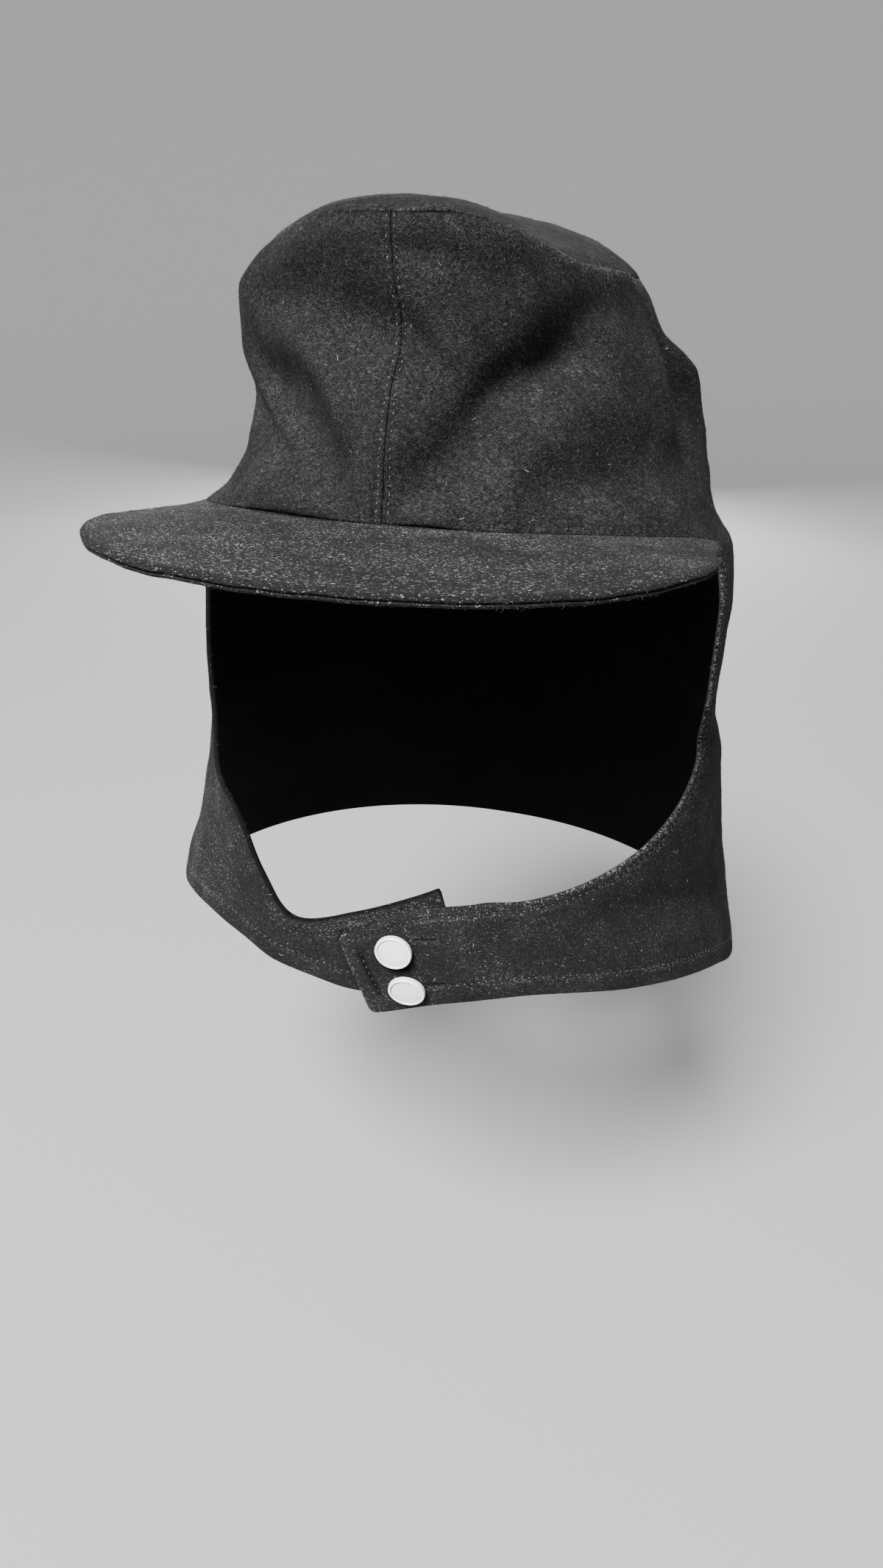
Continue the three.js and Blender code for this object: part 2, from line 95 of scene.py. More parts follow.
# Folds of the soft crown. Each is a line over the crown, followed from place to place, with its depth and
# its widths on the left and the right of the way it runs. A negative depth is a valley.
FOLD_RADIUS = 90
FOLD_STEPS = 4
FOLD_FADE = 0.12
FOLD_COLUMNS = ("turn", "up", "depth", "left", "right")
FOLDS = {
    "long valley": [
        (3.5, 17.5, -4.5, 7, 8), (9, 22, -8, 9.5, 11), (16, 32, -10, 11, 14), (22, 43, -9.5, 9.5, 15),
        (31, 50, -9, 9, 13), (39, 57, -7.5, 8.5, 10), (53, 66, -3, 7, 7), (66, 71, -1, 6, 6),
    ],
    "side branch": [(32, 51, -1.5, 4, 4), (41, 54, -3.5, 5, 5), (51, 57, -1.5, 5, 5)],
    "short valley": [
        (-0.5, 66.5, -1, 4, 7), (1, 63, -2.5, 4, 9), (5.5, 56.5, -3.5, 4, 9), (10.5, 50.5, -2, 4, 7),
    ],
    "upper hollow": [
        (-44, 73, -1.5, 9, 9), (-29, 69, -4, 11, 10), (-18, 65.5, -5.5, 12, 11), (-9.5, 61, -5.5, 11, 10),
        (-3, 55.5, -3, 8, 8),
    ],
    "top crease": [(0.5, 81, -0.8, 4, 4), (7, 80, -1.5, 4, 4), (16, 79.5, -1, 4, 4)],
    "right valley": [
        (-53, 54, -2.5, 12, 6), (-46, 46, -6, 15, 6), (-37, 38.5, -9, 17, 6), (-27.5, 31.5, -10.5, 17, 6),
        (-17, 22.5, -10, 14, 6), (-9.5, 16, -5, 9, 5),
    ],
    "right crest": [
        (-27, 58, 1, 10, 7), (-21, 49, 2.2, 10, 7), (-14.5, 38.5, 2.2, 9, 7), (-8.5, 28, 1, 8, 6),
    ],
    "outer valley": [
        (-60, 39.5, -2, 4.5, 5), (-48.5, 32.5, -6, 5, 6.5), (-32.5, 24.5, -5.5, 4.5, 6.5),
        (-21.5, 17.5, -2.5, 4, 5),
    ],
    "lower ridge": [(32, 41, 1, 7, 9), (27, 32, 2.5, 7, 9), (23, 22, 2, 7, 9)],
    "lower hollow": [
        (29, 14, -3, 12, 8), (39, 19.5, -6, 14, 8), (53.5, 23, -7, 15, 8), (67.5, 20.5, -5, 13, 8),
    ],
    "top edge ridge": [(28, 86, 1.5, 5, 5), (74, 82, 2.5, 5, 5)],
    "shoulder": [(66, 77, 1, 9, 9), (96, 70, 0.5, 9, 9)],
    "ear hollow": [
        (88, 72, -2, 6, 7), (85.5, 62, -7, 6.5, 7), (83, 50, -9, 7, 7), (81, 38, -6.5, 7, 7),
        (78, 24, -3, 6, 7),
    ],
    "ear rim": [(79, 66, 0.5, 6, 7), (76, 60, 1.5, 6, 7), (72, 50, 2, 6, 7), (70, 38, 1, 6, 7)],
    "ear bulge": [(96, 52, 7.5, 8.5, 7.5), (98, 37, 5, 8.5, 7.5), (99, 22, 2.5, 8.5, 7.5)],
    "left pinch": [(-17, 15.5, -1.7, 2.5, 2.5), (-12.5, 14.5, -3.4, 2.5, 2.5), (-8, 12, -3.8, 2.5, 2.5)],
    "right pinch": [(2.5, 12.5, -2, 2.5, 2.5), (6, 15, -2, 2.5, 2.5), (9, 14.5, -1.5, 2.5, 2.5)],
}
# Slight unevenness of all the cloth: the way of each wave, in radians for each millimetre, and its start
WAVES = [
    ((0.21, 0.11, 0.17), 0.4), ((-0.13, 0.19, 0.23), 1.9), ((0.09, -0.24, 0.12), 3.1),
    ((0.31, 0.2, -0.28), 0.7), ((-0.42, 0.35, 0.33), 2.3),
]


def through(table, along, column, at):
    """A smooth curve through one column of a table, without overshoot between its rows."""
    x = np.array(table[along], float)
    y = np.array(table[column], float)
    slope = np.diff(y) / np.diff(x)
    before, after = slope[:-1], slope[1:]
    level = before * after <= 0
    middle = np.where(level, 0, 2 * before * after / np.where(level, 1, before + after))
    tangent = np.concatenate([slope[:1], middle, slope[-1:]])
    at = np.clip(at, x[0], x[-1])
    i = np.clip(np.searchsorted(x, at, side="right") - 1, 0, len(x) - 2)
    span = x[i + 1] - x[i]
    u = (at - x[i]) / span
    v = 1 - u
    start = y[i] * v * v * (1 + 2 * u) + tangent[i] * span * u * v * v
    return start + y[i + 1] * u * u * (1 + 2 * v) - tangent[i + 1] * span * u * u * v


def mix(a, b, share):
    return a + (b - a) * share


def smooth(low, high, value):
    t = np.clip((value - low) / (high - low), 0, 1)
    return t * t * (3 - 2 * t)


def bell(distance, at, half):
    return np.exp(-((distance - at) / half) ** 2)


def outward(turn):
    """The level direction away from the head at a turn."""
    angle = np.radians(turn)
    return np.stack([np.sin(angle), -np.cos(angle), np.zeros_like(angle)], -1)


def oval_point(table, along, at, turn, up):
    """A point on the oval that a table gives at one height or share."""
    angle = np.radians(turn)
    side = np.where(np.sin(angle) > 0, through(table, along, "left", at), through(table, along, "right", at))
    end = np.where(np.cos(angle) > 0, through(table, along, "front", at), through(table, along, "back", at))
    return np.stack([side * np.sin(angle), -end * np.cos(angle), up + 0 * side], -1)


def fold_depth(folds, turn, up):
    """How far folds push the cloth out at a place."""
    total = 0
    x = np.radians(turn) * FOLD_RADIUS
    for rows in folds.values():
        table = {"row": range(len(rows)), **dict(zip(FOLD_COLUMNS, zip(*rows)))}
        at = np.linspace(0, len(rows) - 1, (len(rows) - 1) * FOLD_STEPS + 1)
        places = zip(*(through(table, "row", column, at) for column in FOLD_COLUMNS))
        places = [(math.radians(place[0]) * FOLD_RADIUS, *place[1:]) for place in places]
        strongest = np.zeros_like(x)
        for start, end in zip(places[:-1], places[1:]):
            run_x, run_y = end[0] - start[0], end[1] - start[1]
            run = math.hypot(run_x, run_y)
            share = np.clip(((x - start[0]) * run_x + (up - start[1]) * run_y) / run ** 2, 0, 1)
            away_x, away_y = x - start[0] - share * run_x, up - start[1] - share * run_y
            distance = np.hypot(away_x, away_y) + TINY
            leftwards = (run_x * away_y - run_y * away_x) / run / distance
            depth, left, right = (mix(start[i], end[i], share) for i in (2, 3, 4))
            depth = depth * np.exp(-(distance / mix(right, left, 0.5 + 0.5 * leftwards)) ** 2)
            strongest = np.where(np.abs(depth) > np.abs(strongest), depth, strongest)
        total = total + strongest
    return total


def crown_point(turn, share):
    """The crown's outer surface; the folds fade out at the band line."""
    band = through(BAND_LINE, "turn", "up", np.abs(turn))
    up = mix(band, through(TOP_SEAM, "turn", "up", turn), share)
    point = oval_point(CROWN_SECTIONS, "share", share, turn, up)
    push = fold_depth(FOLDS, turn, up) * np.clip(share / FOLD_FADE, 0, 1)
    return point + push[..., None] * outward(turn)


def graded(length, coarse, fine=0.14, growth=1.28):
    """Positions from 0 to a length, close together at both ends."""
    near = [0.0]
    step = fine
    while step < coarse and near[-1] + step < length / 2:
        near.append(near[-1] + step)
        step *= growth
    near = np.array(near)
    count = max(2, round((length - 2 * near[-1]) / coarse) + 1)
    middle = np.linspace(near[-1], length - near[-1], count)
    return np.concatenate([near[:-1], middle, (length - near[:-1])[::-1]])


def grid_normals(points):
    """Outward normals of a grid whose rows go up and whose columns go round by rising turn."""
    normal = np.cross(np.gradient(points, axis=1), np.gradient(points, axis=0))
    return normal / np.linalg.norm(normal, axis=-1, keepdims=True)


def roll(distance, radius):
    """How far a turned edge drops, at a distance in from it."""
    t = np.clip(1 - distance / radius, 0, 1)
    return radius * (1 - np.sqrt(1 - t * t))


def ripple(points, height):
    return height * sum(np.sin(points @ np.array(way) + phase) for way, phase in WAVES) / len(WAVES)


def quads(a, b, c, d):
    return np.stack([a, b, c, d], -1).reshape(-1, 4)


def feed(tree, node, sources):
    """Gives values or links to the inputs of a node."""
    for key, source in sources.items():
        if isinstance(source, bpy.types.NodeSocket):
            tree.links.new(source, node.inputs[key])
        else:
            node.inputs[key].default_value = source


def add_node(tree, kind, sources=None, **settings):
    """A node with its settings, and with values or links for its inputs."""
    node = tree.nodes.new(kind)
    for name, value in settings.items():
        setattr(node, name, value)
    feed(tree, node, sources or {})
    return node


def maths(tree, operation, first, second=0.0, third=0.0):
    return add_node(tree, "ShaderNodeMath", {0: first, 1: second, 2: third}, operation=operation).outputs[0]


def vector_maths(tree, operation, sources):
    return add_node(tree, "ShaderNodeVectorMath", sources, operation=operation).outputs[0]


def noise(tree, place, scale, detail, **more):
    """A noise pattern; more holds further inputs of the node."""
    sources = {"Vector": place, "Scale": scale, "Detail": detail, **more}
    return add_node(tree, "ShaderNodeTexNoise", sources)


def ramp(tree, value, low, high, to_low=0.0, to_high=1.0):
    sources = {"Value": value, "From Min": low, "From Max": high, "To Min": to_low, "To Max": to_high}
    return add_node(tree, "ShaderNodeMapRange", sources, clamp=True).outputs[0]


def between(tree, share, first, second):
    """A colour between two others."""
    return add_node(tree, "ShaderNodeMix", {0: share, 6: first, 7: second}, data_type="RGBA").outputs[2]


def node_tree(name, kind, takes, gives):
    """A node group with named inputs and outputs."""
    tree = bpy.data.node_groups.new(name, kind)
    for label, socket, *value in takes:
        made = tree.interface.new_socket(label, in_out="INPUT", socket_type=socket)
        if value:
            made.default_value = value[0]
    for label, socket in gives:
        tree.interface.new_socket(label, in_out="OUTPUT", socket_type=socket)
    return tree, tree.nodes.new("NodeGroupInput").outputs, tree.nodes.new("NodeGroupOutput").inputs


def new_material(name):
    """A material, its node tree and its surface node."""
    material = bpy.data.materials.new(name)
    material.use_nodes = True
    return material, material.node_tree, material.node_tree.nodes["Principled BSDF"]


def put(name, data):
    """An object in the scene that shows a mesh, a light or a camera."""
    item = bpy.data.objects.new(name, data)
    bpy.context.scene.collection.objects.link(item)
    return item


# Fibres of felted wool: short streaks that lie mostly level, in several directions over one another.
# Each row is a direction in degrees and the strength of its streaks.
FIBRE_WAYS = [(4, 1.0), (-17, 0.9), (26, 0.8), (-41, 0.65), (63, 0.5), (-78, 0.4)]
FIBRE_BEND = (2.4, 2.4, 0)
FIBRE_LAYER = 7.3


def felt_fibres():
    takes = [
        ("Cloth", "NodeSocketVector"),
        ("Fibre Length", "NodeSocketFloat", 2.0),
        ("Fibre Width", "NodeSocketFloat", 0.3),
    ]
    gives = [(label, "NodeSocketFloat") for label in ("Fibres", "Grain", "Patches")]
    tree, takes_in, gives_out = node_tree("felt fibres", "ShaderNodeTree", takes, gives)
    cloth = takes_in["Cloth"]
    stray = noise(tree, cloth, 0.45, 2.0)
    centred = vector_maths(tree, "SUBTRACT", {0: stray.outputs["Color"], 1: (0.5, 0.5, 0.5)})
    bent = vector_maths(tree, "MULTIPLY_ADD", {0: centred, 1: FIBRE_BEND, 2: cloth})
    across = maths(tree, "DIVIDE", 1.0, takes_in["Fibre Width"])
    along = maths(tree, "DIVIDE", 1.0, takes_in["Fibre Length"])
    size = add_node(tree, "ShaderNodeCombineXYZ", {"X": along, "Y": across, "Z": 1.0}).outputs[0]
    total = 0.0
    for count, (way, weight) in enumerate(FIBRE_WAYS):
        sources = {"Vector": bent, "Angle": math.radians(way)}
        turned = add_node(tree, "ShaderNodeVectorRotate", sources, rotation_type="Z_AXIS").outputs[0]
        stretched = vector_maths(tree, "MULTIPLY_ADD", {0: turned, 1: size, 2: (0, 0, FIBRE_LAYER * count)})
        streak = ramp(tree, noise(tree, stretched, 1.0, 1.0).outputs[0], 0.58, 0.74, 0.0, weight)
        total = maths(tree, "MAXIMUM", total, streak)
    tree.links.new(total, gives_out["Fibres"])
    tree.links.new(noise(tree, cloth, 2.6, 3.0, Roughness=0.65).outputs[0], gives_out["Grain"])
    tree.links.new(noise(tree, cloth, 0.06, 4.0, Roughness=0.6).outputs[0], gives_out["Patches"])
    return tree


felt = felt_fibres()


def wool(name, deep, tip, flecks, fleck_start, sheen, fibre_length=2.0, grains=0.15):
    """Felted wool: deep and tip are the colours between and on the fibres; flecks is pale lint in the nap.
    An edge attribute above 0 gathers lint, in places also as a painted highlight, and one below 0 darkens the
    wool as painted shade."""
    material, tree, surface = new_material(name)
    cloth = add_node(tree, "ShaderNodeAttribute", attribute_name="cloth").outputs["Vector"]
    edge = add_node(tree, "ShaderNodeAttribute", attribute_name="edge").outputs["Fac"]
    fibres = add_node(tree, "ShaderNodeGroup", node_tree=felt)
    feed(tree, fibres, {"Cloth": cloth, "Fibre Length": fibre_length})
    streaks, grain, patches = (fibres.outputs[label] for label in ("Fibres", "Grain", "Patches"))
    grain = ramp(tree, grain, 0.3, 0.7)
    nap = maths(tree, "MULTIPLY_ADD", streaks, 1 - grains, maths(tree, "MULTIPLY", grain, grains))
    colour = between(tree, nap, deep, tip)
    patch = ramp(tree, patches, 0.35, 0.65, 0.82, 1.18)
    shade = ramp(tree, edge, -1.0, 0.0, 0.25, 1.0)
    cloudy = vector_maths(tree, "SCALE", {0: colour, "Scale": patch})
    cloudy = vector_maths(tree, "SCALE", {0: cloudy, "Scale": shade})
    speck = noise(tree, cloth, 1.9, 2.0, Distortion=1.2).outputs[0]
    gathered = maths(tree, "MULTIPLY_ADD", edge, 0.16, speck)
    gathered = maths(tree, "MULTIPLY_ADD", patches, 0.2, gathered)
    lint = ramp(tree, gathered, fleck_start + 0.1, fleck_start + 0.16)
    height = maths(tree, "MULTIPLY_ADD", streaks, 0.7, maths(tree, "MULTIPLY", grain, 0.6))
    bump = add_node(tree, "ShaderNodeBump", {"Height": height, "Strength": 0.8, "Distance": 0.0004})
    feed(tree, surface, {
        "Base Color": between(tree, lint, cloudy, flecks),
        "Normal": bump.outputs[0],
        "Roughness": 0.95,
        "Specular IOR Level": 0.08,
        "Sheen Weight": sheen,
        "Sheen Roughness": 0.5,
        "Sheen Tint": (0.82, 0.85, 0.9, 1),
    })
    return material


BLACK = (0.0015, 0.0015, 0.0017, 1)
CHARCOAL = (0.0445, 0.0452, 0.0445, 1)
LINT_GREY = (0.12, 0.12, 0.117, 1)
# The inside is the same wool made much darker: painted shade for the inside of the cap
INNER_SHADE_DEEP = (0.0015, 0.0015, 0.0016, 1)
INNER_SHADE_TIP = (0.0048, 0.0048, 0.005, 1)
INNER_SHADE_LINT = (0.011, 0.011, 0.011, 1)
crown_wool = wool("crown_wool", BLACK, CHARCOAL, LINT_GREY, 0.7, 0.0)
shaded_inner_wool = wool("shaded_inner_wool", INNER_SHADE_DEEP, INNER_SHADE_TIP, INNER_SHADE_LINT, 0.76, 0.0)
# Splits the cloth pattern of the outside from that of the inside
LAYER_STEP = 40


def set_values(mesh, label, values, kind="FLOAT"):
    """Keeps one value, or one vector, for each point of a mesh."""
    data = mesh.attributes.new(label, kind, "POINT").data
    field = "value" if kind == "FLOAT" else "vector"
    data.foreach_set(field, np.asarray(values, np.float32).ravel())


def cloth_object(name, points, faces, cloth, outside, edge, finish):
    """A mesh object in metres. The cloth attribute holds the flat place of each point in millimetres."""
    mesh = bpy.data.meshes.new(name)
    mesh.from_pydata((points * MM).tolist(), [], [list(face) for face in faces])
    layer = LAYER_STEP * np.asarray(outside, float)[:, None]
    set_values(mesh, "cloth", np.concatenate([cloth, layer], 1), "FLOAT_VECTOR")
    set_values(mesh, "outside", outside)
    # The edge attribute holds lint above 0 and painted shade below 0
    set_values(mesh, "edge", edge)
    mesh.materials.append(finish)
    mesh.materials.append(shaded_inner_wool)
    # Faces wholly on the inside take the darker inner wool, which is painted shade
    hidden = np.asarray(outside) < 0.5
    kinds = [int(all(hidden[i] for i in face)) for face in faces]
    mesh.polygons.foreach_set("material_index", np.array(kinds, np.int32))
    mesh.shade_smooth()
    mesh.set_sharp_from_angle(angle=math.radians(60))
    return put(name, mesh)


def walled_object(name, outer, inner, cloth, edge, finish):
    """A closed wall between an outer and an inner grid of points."""
    rows, columns = outer.shape[:2]
    out = np.arange(rows * columns).reshape(rows, columns)
    into = out + rows * columns
    faces = [
        quads(out[:-1, :-1], out[:-1, 1:], out[1:, 1:], out[1:, :-1]),
        quads(into[:-1, :-1], into[1:, :-1], into[1:, 1:], into[:-1, 1:]),
        quads(out[0, :-1], into[0, :-1], into[0, 1:], out[0, 1:]),
        quads(out[-1, :-1], out[-1, 1:], into[-1, 1:], into[-1, :-1]),
        quads(out[:-1, 0], out[1:, 0], into[1:, 0], into[:-1, 0]),
        quads(out[:-1, -1], into[:-1, -1], into[1:, -1], out[1:, -1]),
    ]
    points = np.concatenate([outer.reshape(-1, 3), inner.reshape(-1, 3)])
    outside = np.repeat([1, 0], rows * columns)
    edges = np.concatenate([edge.ravel(), 0 * edge.ravel()])
    flat = np.concatenate([cloth.reshape(-1, 2)] * 2)
    return cloth_object(name, points, np.concatenate(faces).tolist(), flat, outside, edges, finish)


def top_roll(turn):
    """The groove of the top seam is plain at the front and dies away over the shoulders."""
    least = 0.15
    return TOP_ROLL * mix(1, least, smooth(*TOP_GROOVE_FADES, np.abs(turn)))


def top_ridge(turn, distance):
    """The turned edges inside the top seam lift both panels along the wearer's left shoulder."""
    height, middle, half = 0.4, 2.5, 3
    return height * bell(distance, middle, half) * smooth(28, 42, turn) * (1 - smooth(70, 85, turn))


def crown_lint_and_shade(turn, low, high):
    """Where lint has gathered: over the peak, and along the top seam at the shoulders, where it also stands
    as a painted highlight on the lit crest. The groove of the top seam and the tucks over the peak are
    darkened as painted shade."""
    band_reach, top_reach = 5, 3
    shoulders = smooth(20, 40, np.abs(turn)) * (1 - smooth(100, 130, np.abs(turn)))
    over_peak = 1 - smooth(70, 85, np.abs(turn))
    # Painted shade in the groove of the top seam
    groove = 0.7 * bell(high, 0, 0.5) * (1 - smooth(*TOP_GROOVE_FADES, np.abs(turn)))
    # Painted shade where the crown tucks in over the peak
    tucked = bell(turn, -25, 14) + bell(turn, 8, 7)
    at_band = (0.45 * over_peak - 0.75 * tucked) * np.exp(-low / band_reach)
    # Lint along the top seam at the shoulders, with a painted highlight on the crest
    return at_band + 1.2 * np.exp(-high / top_reach) * shoulders - groove


def band_roll(turn):
    """The crown tucks in over the peak on both sides of the front seam, where its slack is taken up."""
    radius = BAND_ROLL
    for middle, half, depth in TUCKS:
        radius = radius + depth * bell(turn, middle, half)
    return radius


def crown_relief(point, low, high):
    """Height of the cloth over the plain crown surface, from the distances to the seams."""
    seam = np.abs(point[..., 0])
    turn = np.degrees(np.arctan2(point[..., 0], -point[..., 1]))
    height = -roll(seam, SEAM_ROLL) - roll(low, band_roll(turn)) - roll(high, top_roll(turn))
    height -= STITCH_GROOVE * bell(seam, SEAM_STITCH_IN, 0.5)
    height += ALLOWANCE_SWELL * (1 - smooth(SEAM_ALLOWANCE - 1.5, SEAM_ALLOWANCE + 0.5, seam))
    return height + top_ridge(turn, high) + ripple(point, CLOTH_RIPPLE)


def drift(point):
    """Moves the cloth round the front seam sideways, as the seam wanders."""
    aside = through(SEAM_DRIFT, "up", "aside", point[..., 2])
    near = np.exp(-(point[..., 0] / DRIFT_REACH) ** 2) * (point[..., 1] < 0)
    moved = point.copy()
    moved[..., 0] += aside * near
    return moved


def crown_panel(name, side):
    turns = side * graded(180 * MM_PER_TURN, 1.5) / MM_PER_TURN
    shares = graded(CROWN_HEIGHT, 1.2) / CROWN_HEIGHT
    if side < 0:
        turns = turns[::-1]
    turn, share = np.meshgrid(turns, shares)
    point = crown_point(turn, share)
    normal = grid_normals(point)
    low = share * CROWN_HEIGHT
    high = CROWN_HEIGHT - low
    # At the band line the wall stands upright, so that it meets the curtain flush
    normal = mix(normal * [1, 1, 0], normal, smooth(0, 5, low)[..., None])
    normal /= np.linalg.norm(normal, axis=-1, keepdims=True)
    outer = point + crown_relief(point, low, high)[..., None] * normal
    inner = point - CROWN_WALL * normal
    closed = np.abs(point[..., 0]) < 1e-6
    for layer in (outer, inner):
        layer[..., 0] = np.where(closed, -side * SEAM_LAP, layer[..., 0])
    cloth = np.stack([turn * MM_PER_TURN, low], -1)
    # The seam line, the edge over the peak and the deep hollow by the wearer's left ear are darkened as
    # painted
    # shade: in the seam grooves, under the crown's overhang and in the hollow
    edge = crown_lint_and_shade(turn, low, high) - 0.7 * bell(point[..., 0], 0, 0.38)
    edge -= 0.8 * bell(low, 0, 0.6 * band_roll(turn)) * (np.abs(turn) < PEAK_END_TURN)
    edge -= 0.95 * bell(turn, 89, 8) * bell(point[..., 2], 51, 14)
    return walled_object(name, drift(outer), drift(inner), cloth, edge, crown_wool)


crown_left = crown_panel("crown_left_panel", 1)
crown_right = crown_panel("crown_right_panel", -1)
for piece, node in ((crown_left, "crown_left"), (crown_right, "crown_right")):
    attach(piece, "root")
    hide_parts(node)


# Rows of topstitching: black thread, laid as separate stitches along a line on the cloth
def end_tree(tree, geometry, material, gives_out):
    """Ends a node tree with real, smooth geometry in one material."""
    real = add_node(tree, "GeometryNodeRealizeInstances", {"Geometry": geometry})
    even = add_node(tree, "GeometryNodeSetShadeSmooth", {"Geometry": real.outputs[0]})
    done = add_node(tree, "GeometryNodeSetMaterial", {"Geometry": even.outputs[0], "Material": material})
    tree.links.new(done.outputs[0], gives_out["Geometry"])
    return tree


def facing_attribute(tree):
    sources = {"Name": "facing"}
    read = add_node(tree, "GeometryNodeInputNamedAttribute", sources, data_type="FLOAT_VECTOR")
    return read.outputs["Attribute"]


def stitch_tree():
    takes = [
        ("Geometry", "NodeSocketGeometry"),
        ("Spacing", "NodeSocketFloat", 0.0026),
        ("Length", "NodeSocketFloat", 0.002),
        ("Thickness", "NodeSocketFloat", 0.00045),
        ("Thread", "NodeSocketMaterial"),
    ]
    gives = [("Geometry", "NodeSocketGeometry")]
    tree, takes_in, gives_out = node_tree("stitch row", "GeometryNodeTree", takes, gives)
    line = add_node(tree, "GeometryNodeMeshToCurve", {"Mesh": takes_in["Geometry"]})
    sources = {"Curve": line.outputs[0], "Length": takes_in["Spacing"]}
    cut = add_node(tree, "GeometryNodeResampleCurve", sources, mode="LENGTH")
    bead = add_node(tree, "GeometryNodeMeshUVSphere", {"Segments": 6, "Rings": 4, "Radius": 0.5})
    sources = {"Vector": add_node(tree, "GeometryNodeInputTangent").outputs[0]}
    along = add_node(tree, "FunctionNodeAlignRotationToVector", sources, axis="X")
    sources = {"Rotation": along.outputs[0], "Vector": facing_attribute(tree)}
    stand = add_node(tree, "FunctionNodeAlignRotationToVector", sources, axis="Z", pivot_axis="X")
    chance = add_node(tree, "FunctionNodeRandomValue", {2: 0.82, 3: 1.1, "Seed": 5}, data_type="FLOAT")
    length = maths(tree, "MULTIPLY", takes_in["Length"], chance.outputs[1])
    thickness = takes_in["Thickness"]
    size = add_node(tree, "ShaderNodeCombineXYZ", {"X": length, "Y": thickness, "Z": thickness})
    sown = add_node(tree, "GeometryNodeInstanceOnPoints", {
        "Points": cut.outputs[0],
        "Instance": bead.outputs["Mesh"],
        "Rotation": stand.outputs[0],
        "Scale": size.outputs[0],
    })
    return end_tree(tree, sown.outputs[0], takes_in["Thread"], gives_out)


def set_inputs(modifier, values):
    for socket in modifier.node_group.interface.items_tree:
        if socket.item_type == "SOCKET" and socket.in_out == "INPUT" and socket.name in values:
            modifier[socket.identifier] = values[socket.name]


def made_by_nodes(base, tree, values, name):
    """The plain mesh that a node tree makes from a base object."""
    modifier = base.modifiers.new("made", "NODES")
    modifier.node_group = tree
    set_inputs(modifier, values)
    bpy.context.view_layer.update()
    seen = base.evaluated_get(bpy.context.evaluated_depsgraph_get())
    mesh = bpy.data.meshes.new_from_object(seen)
    mesh.name = name
    base.modifiers.remove(modifier)
    piece = put(name, mesh)
    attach(piece, "root")
    return piece


def line_object(lines):
    """Polylines on the cloth, each given as points and the directions that they face."""
    points = np.concatenate([line[0] for line in lines])
    facing = np.concatenate([line[1] for line in lines])
    edges = []
    first = 0
    for line, _ in lines:
        edges += [(first + i, first + i + 1) for i in range(len(line) - 1)]
        first += len(line)
    mesh = bpy.data.meshes.new("lines")
    mesh.from_pydata((points * MM).tolist(), edges, [])
    set_values(mesh, "facing", facing, "FLOAT_VECTOR")
    return put("lines", mesh)


THREAD_DARK = (0.009, 0.009, 0.0095, 1)
THREAD_PALE = (0.062, 0.062, 0.063, 1)


def thread_material():
    material, tree, surface = new_material("sewing_thread")
    place = add_node(tree, "ShaderNodeTexCoord").outputs["Object"]
    twist = ramp(tree, noise(tree, place, 900.0, 2.0).outputs[0], 0.4, 0.62)
    feed(tree, surface, {"Base Color": between(tree, twist, THREAD_DARK, THREAD_PALE), "Roughness": 0.5})
    return material


sewing_thread = thread_material()
stitching = stitch_tree()


def crown_seam_lines():
    lines = []
    aside = np.degrees(SEAM_STITCH_IN / 97)
    for back in (0, 180):
        for side in (-1, 1):
            share = np.linspace(0.012, 0.985, 120)
            turn = np.full_like(share, back) + side * (1 if back == 0 else -1) * aside
            turn = np.where(turn > 180, turn - 360, turn)
            point = crown_point(turn, share)
            lift = crown_relief(point, share * CROWN_HEIGHT, (1 - share) * CROWN_HEIGHT) + 0.12
            facing = outward(turn)
            lines.append((drift(point + lift[:, None] * facing), facing))
    return lines


seam_lines = line_object(crown_seam_lines())
THREAD = {"Spacing": 0.0025, "Length": 0.0011, "Thickness": 0.0004, "Thread": sewing_thread}
made_by_nodes(seam_lines, stitching, THREAD, "crown_topstitching")


# Crown tip
# One oval of the same wool closes the crown. It is sewn inside out to the side panels and turned, so it
# domes up from a sunk seam, and it leans to the wearer's right.
TIP_MIDDLE = (-12, -6, 101)
TIP_SHOULDER = 1.14
TIP_REACH = 78
TIP_HOLLOW = (21, -36)
TIP_HOLLOW_RADIUS = 30
TIP_HOLLOW_DEPTH = 5.5
TIP_TURN_STEP = 1.2
TIP_RING_STEP = 1.8
TIP_RING_SPREAD = 1.1
TIP_SWELL = 0.35


def tip_point(turn, lift):
    """The top panel's outer surface; lift goes from 0 degrees at its seam to 90 at its middle."""
    rim = crown_point(turn, np.ones_like(turn))
    reach = np.cos(np.radians(lift))
    puffed = np.sin(np.radians(lift)) ** TIP_SHOULDER
    flatter = smooth(8, 40, np.abs(turn)) * (1 - 0.75 * bell(turn, 80, 28))
    rise = mix(puffed, 1 - reach ** 3, flatter)
    x = mix(TIP_MIDDLE[0], rim[..., 0], reach)
    y = mix(TIP_MIDDLE[1], rim[..., 1], reach)
    away = (x - TIP_HOLLOW[0]) ** 2 + (y - TIP_HOLLOW[1]) ** 2
    sunk = TIP_HOLLOW_DEPTH * np.exp(-away / TIP_HOLLOW_RADIUS ** 2)
    z = mix(rim[..., 2], TIP_MIDDLE[2], rise) - sunk - PRESSED_LAP
    return np.stack([x, y, z], -1)


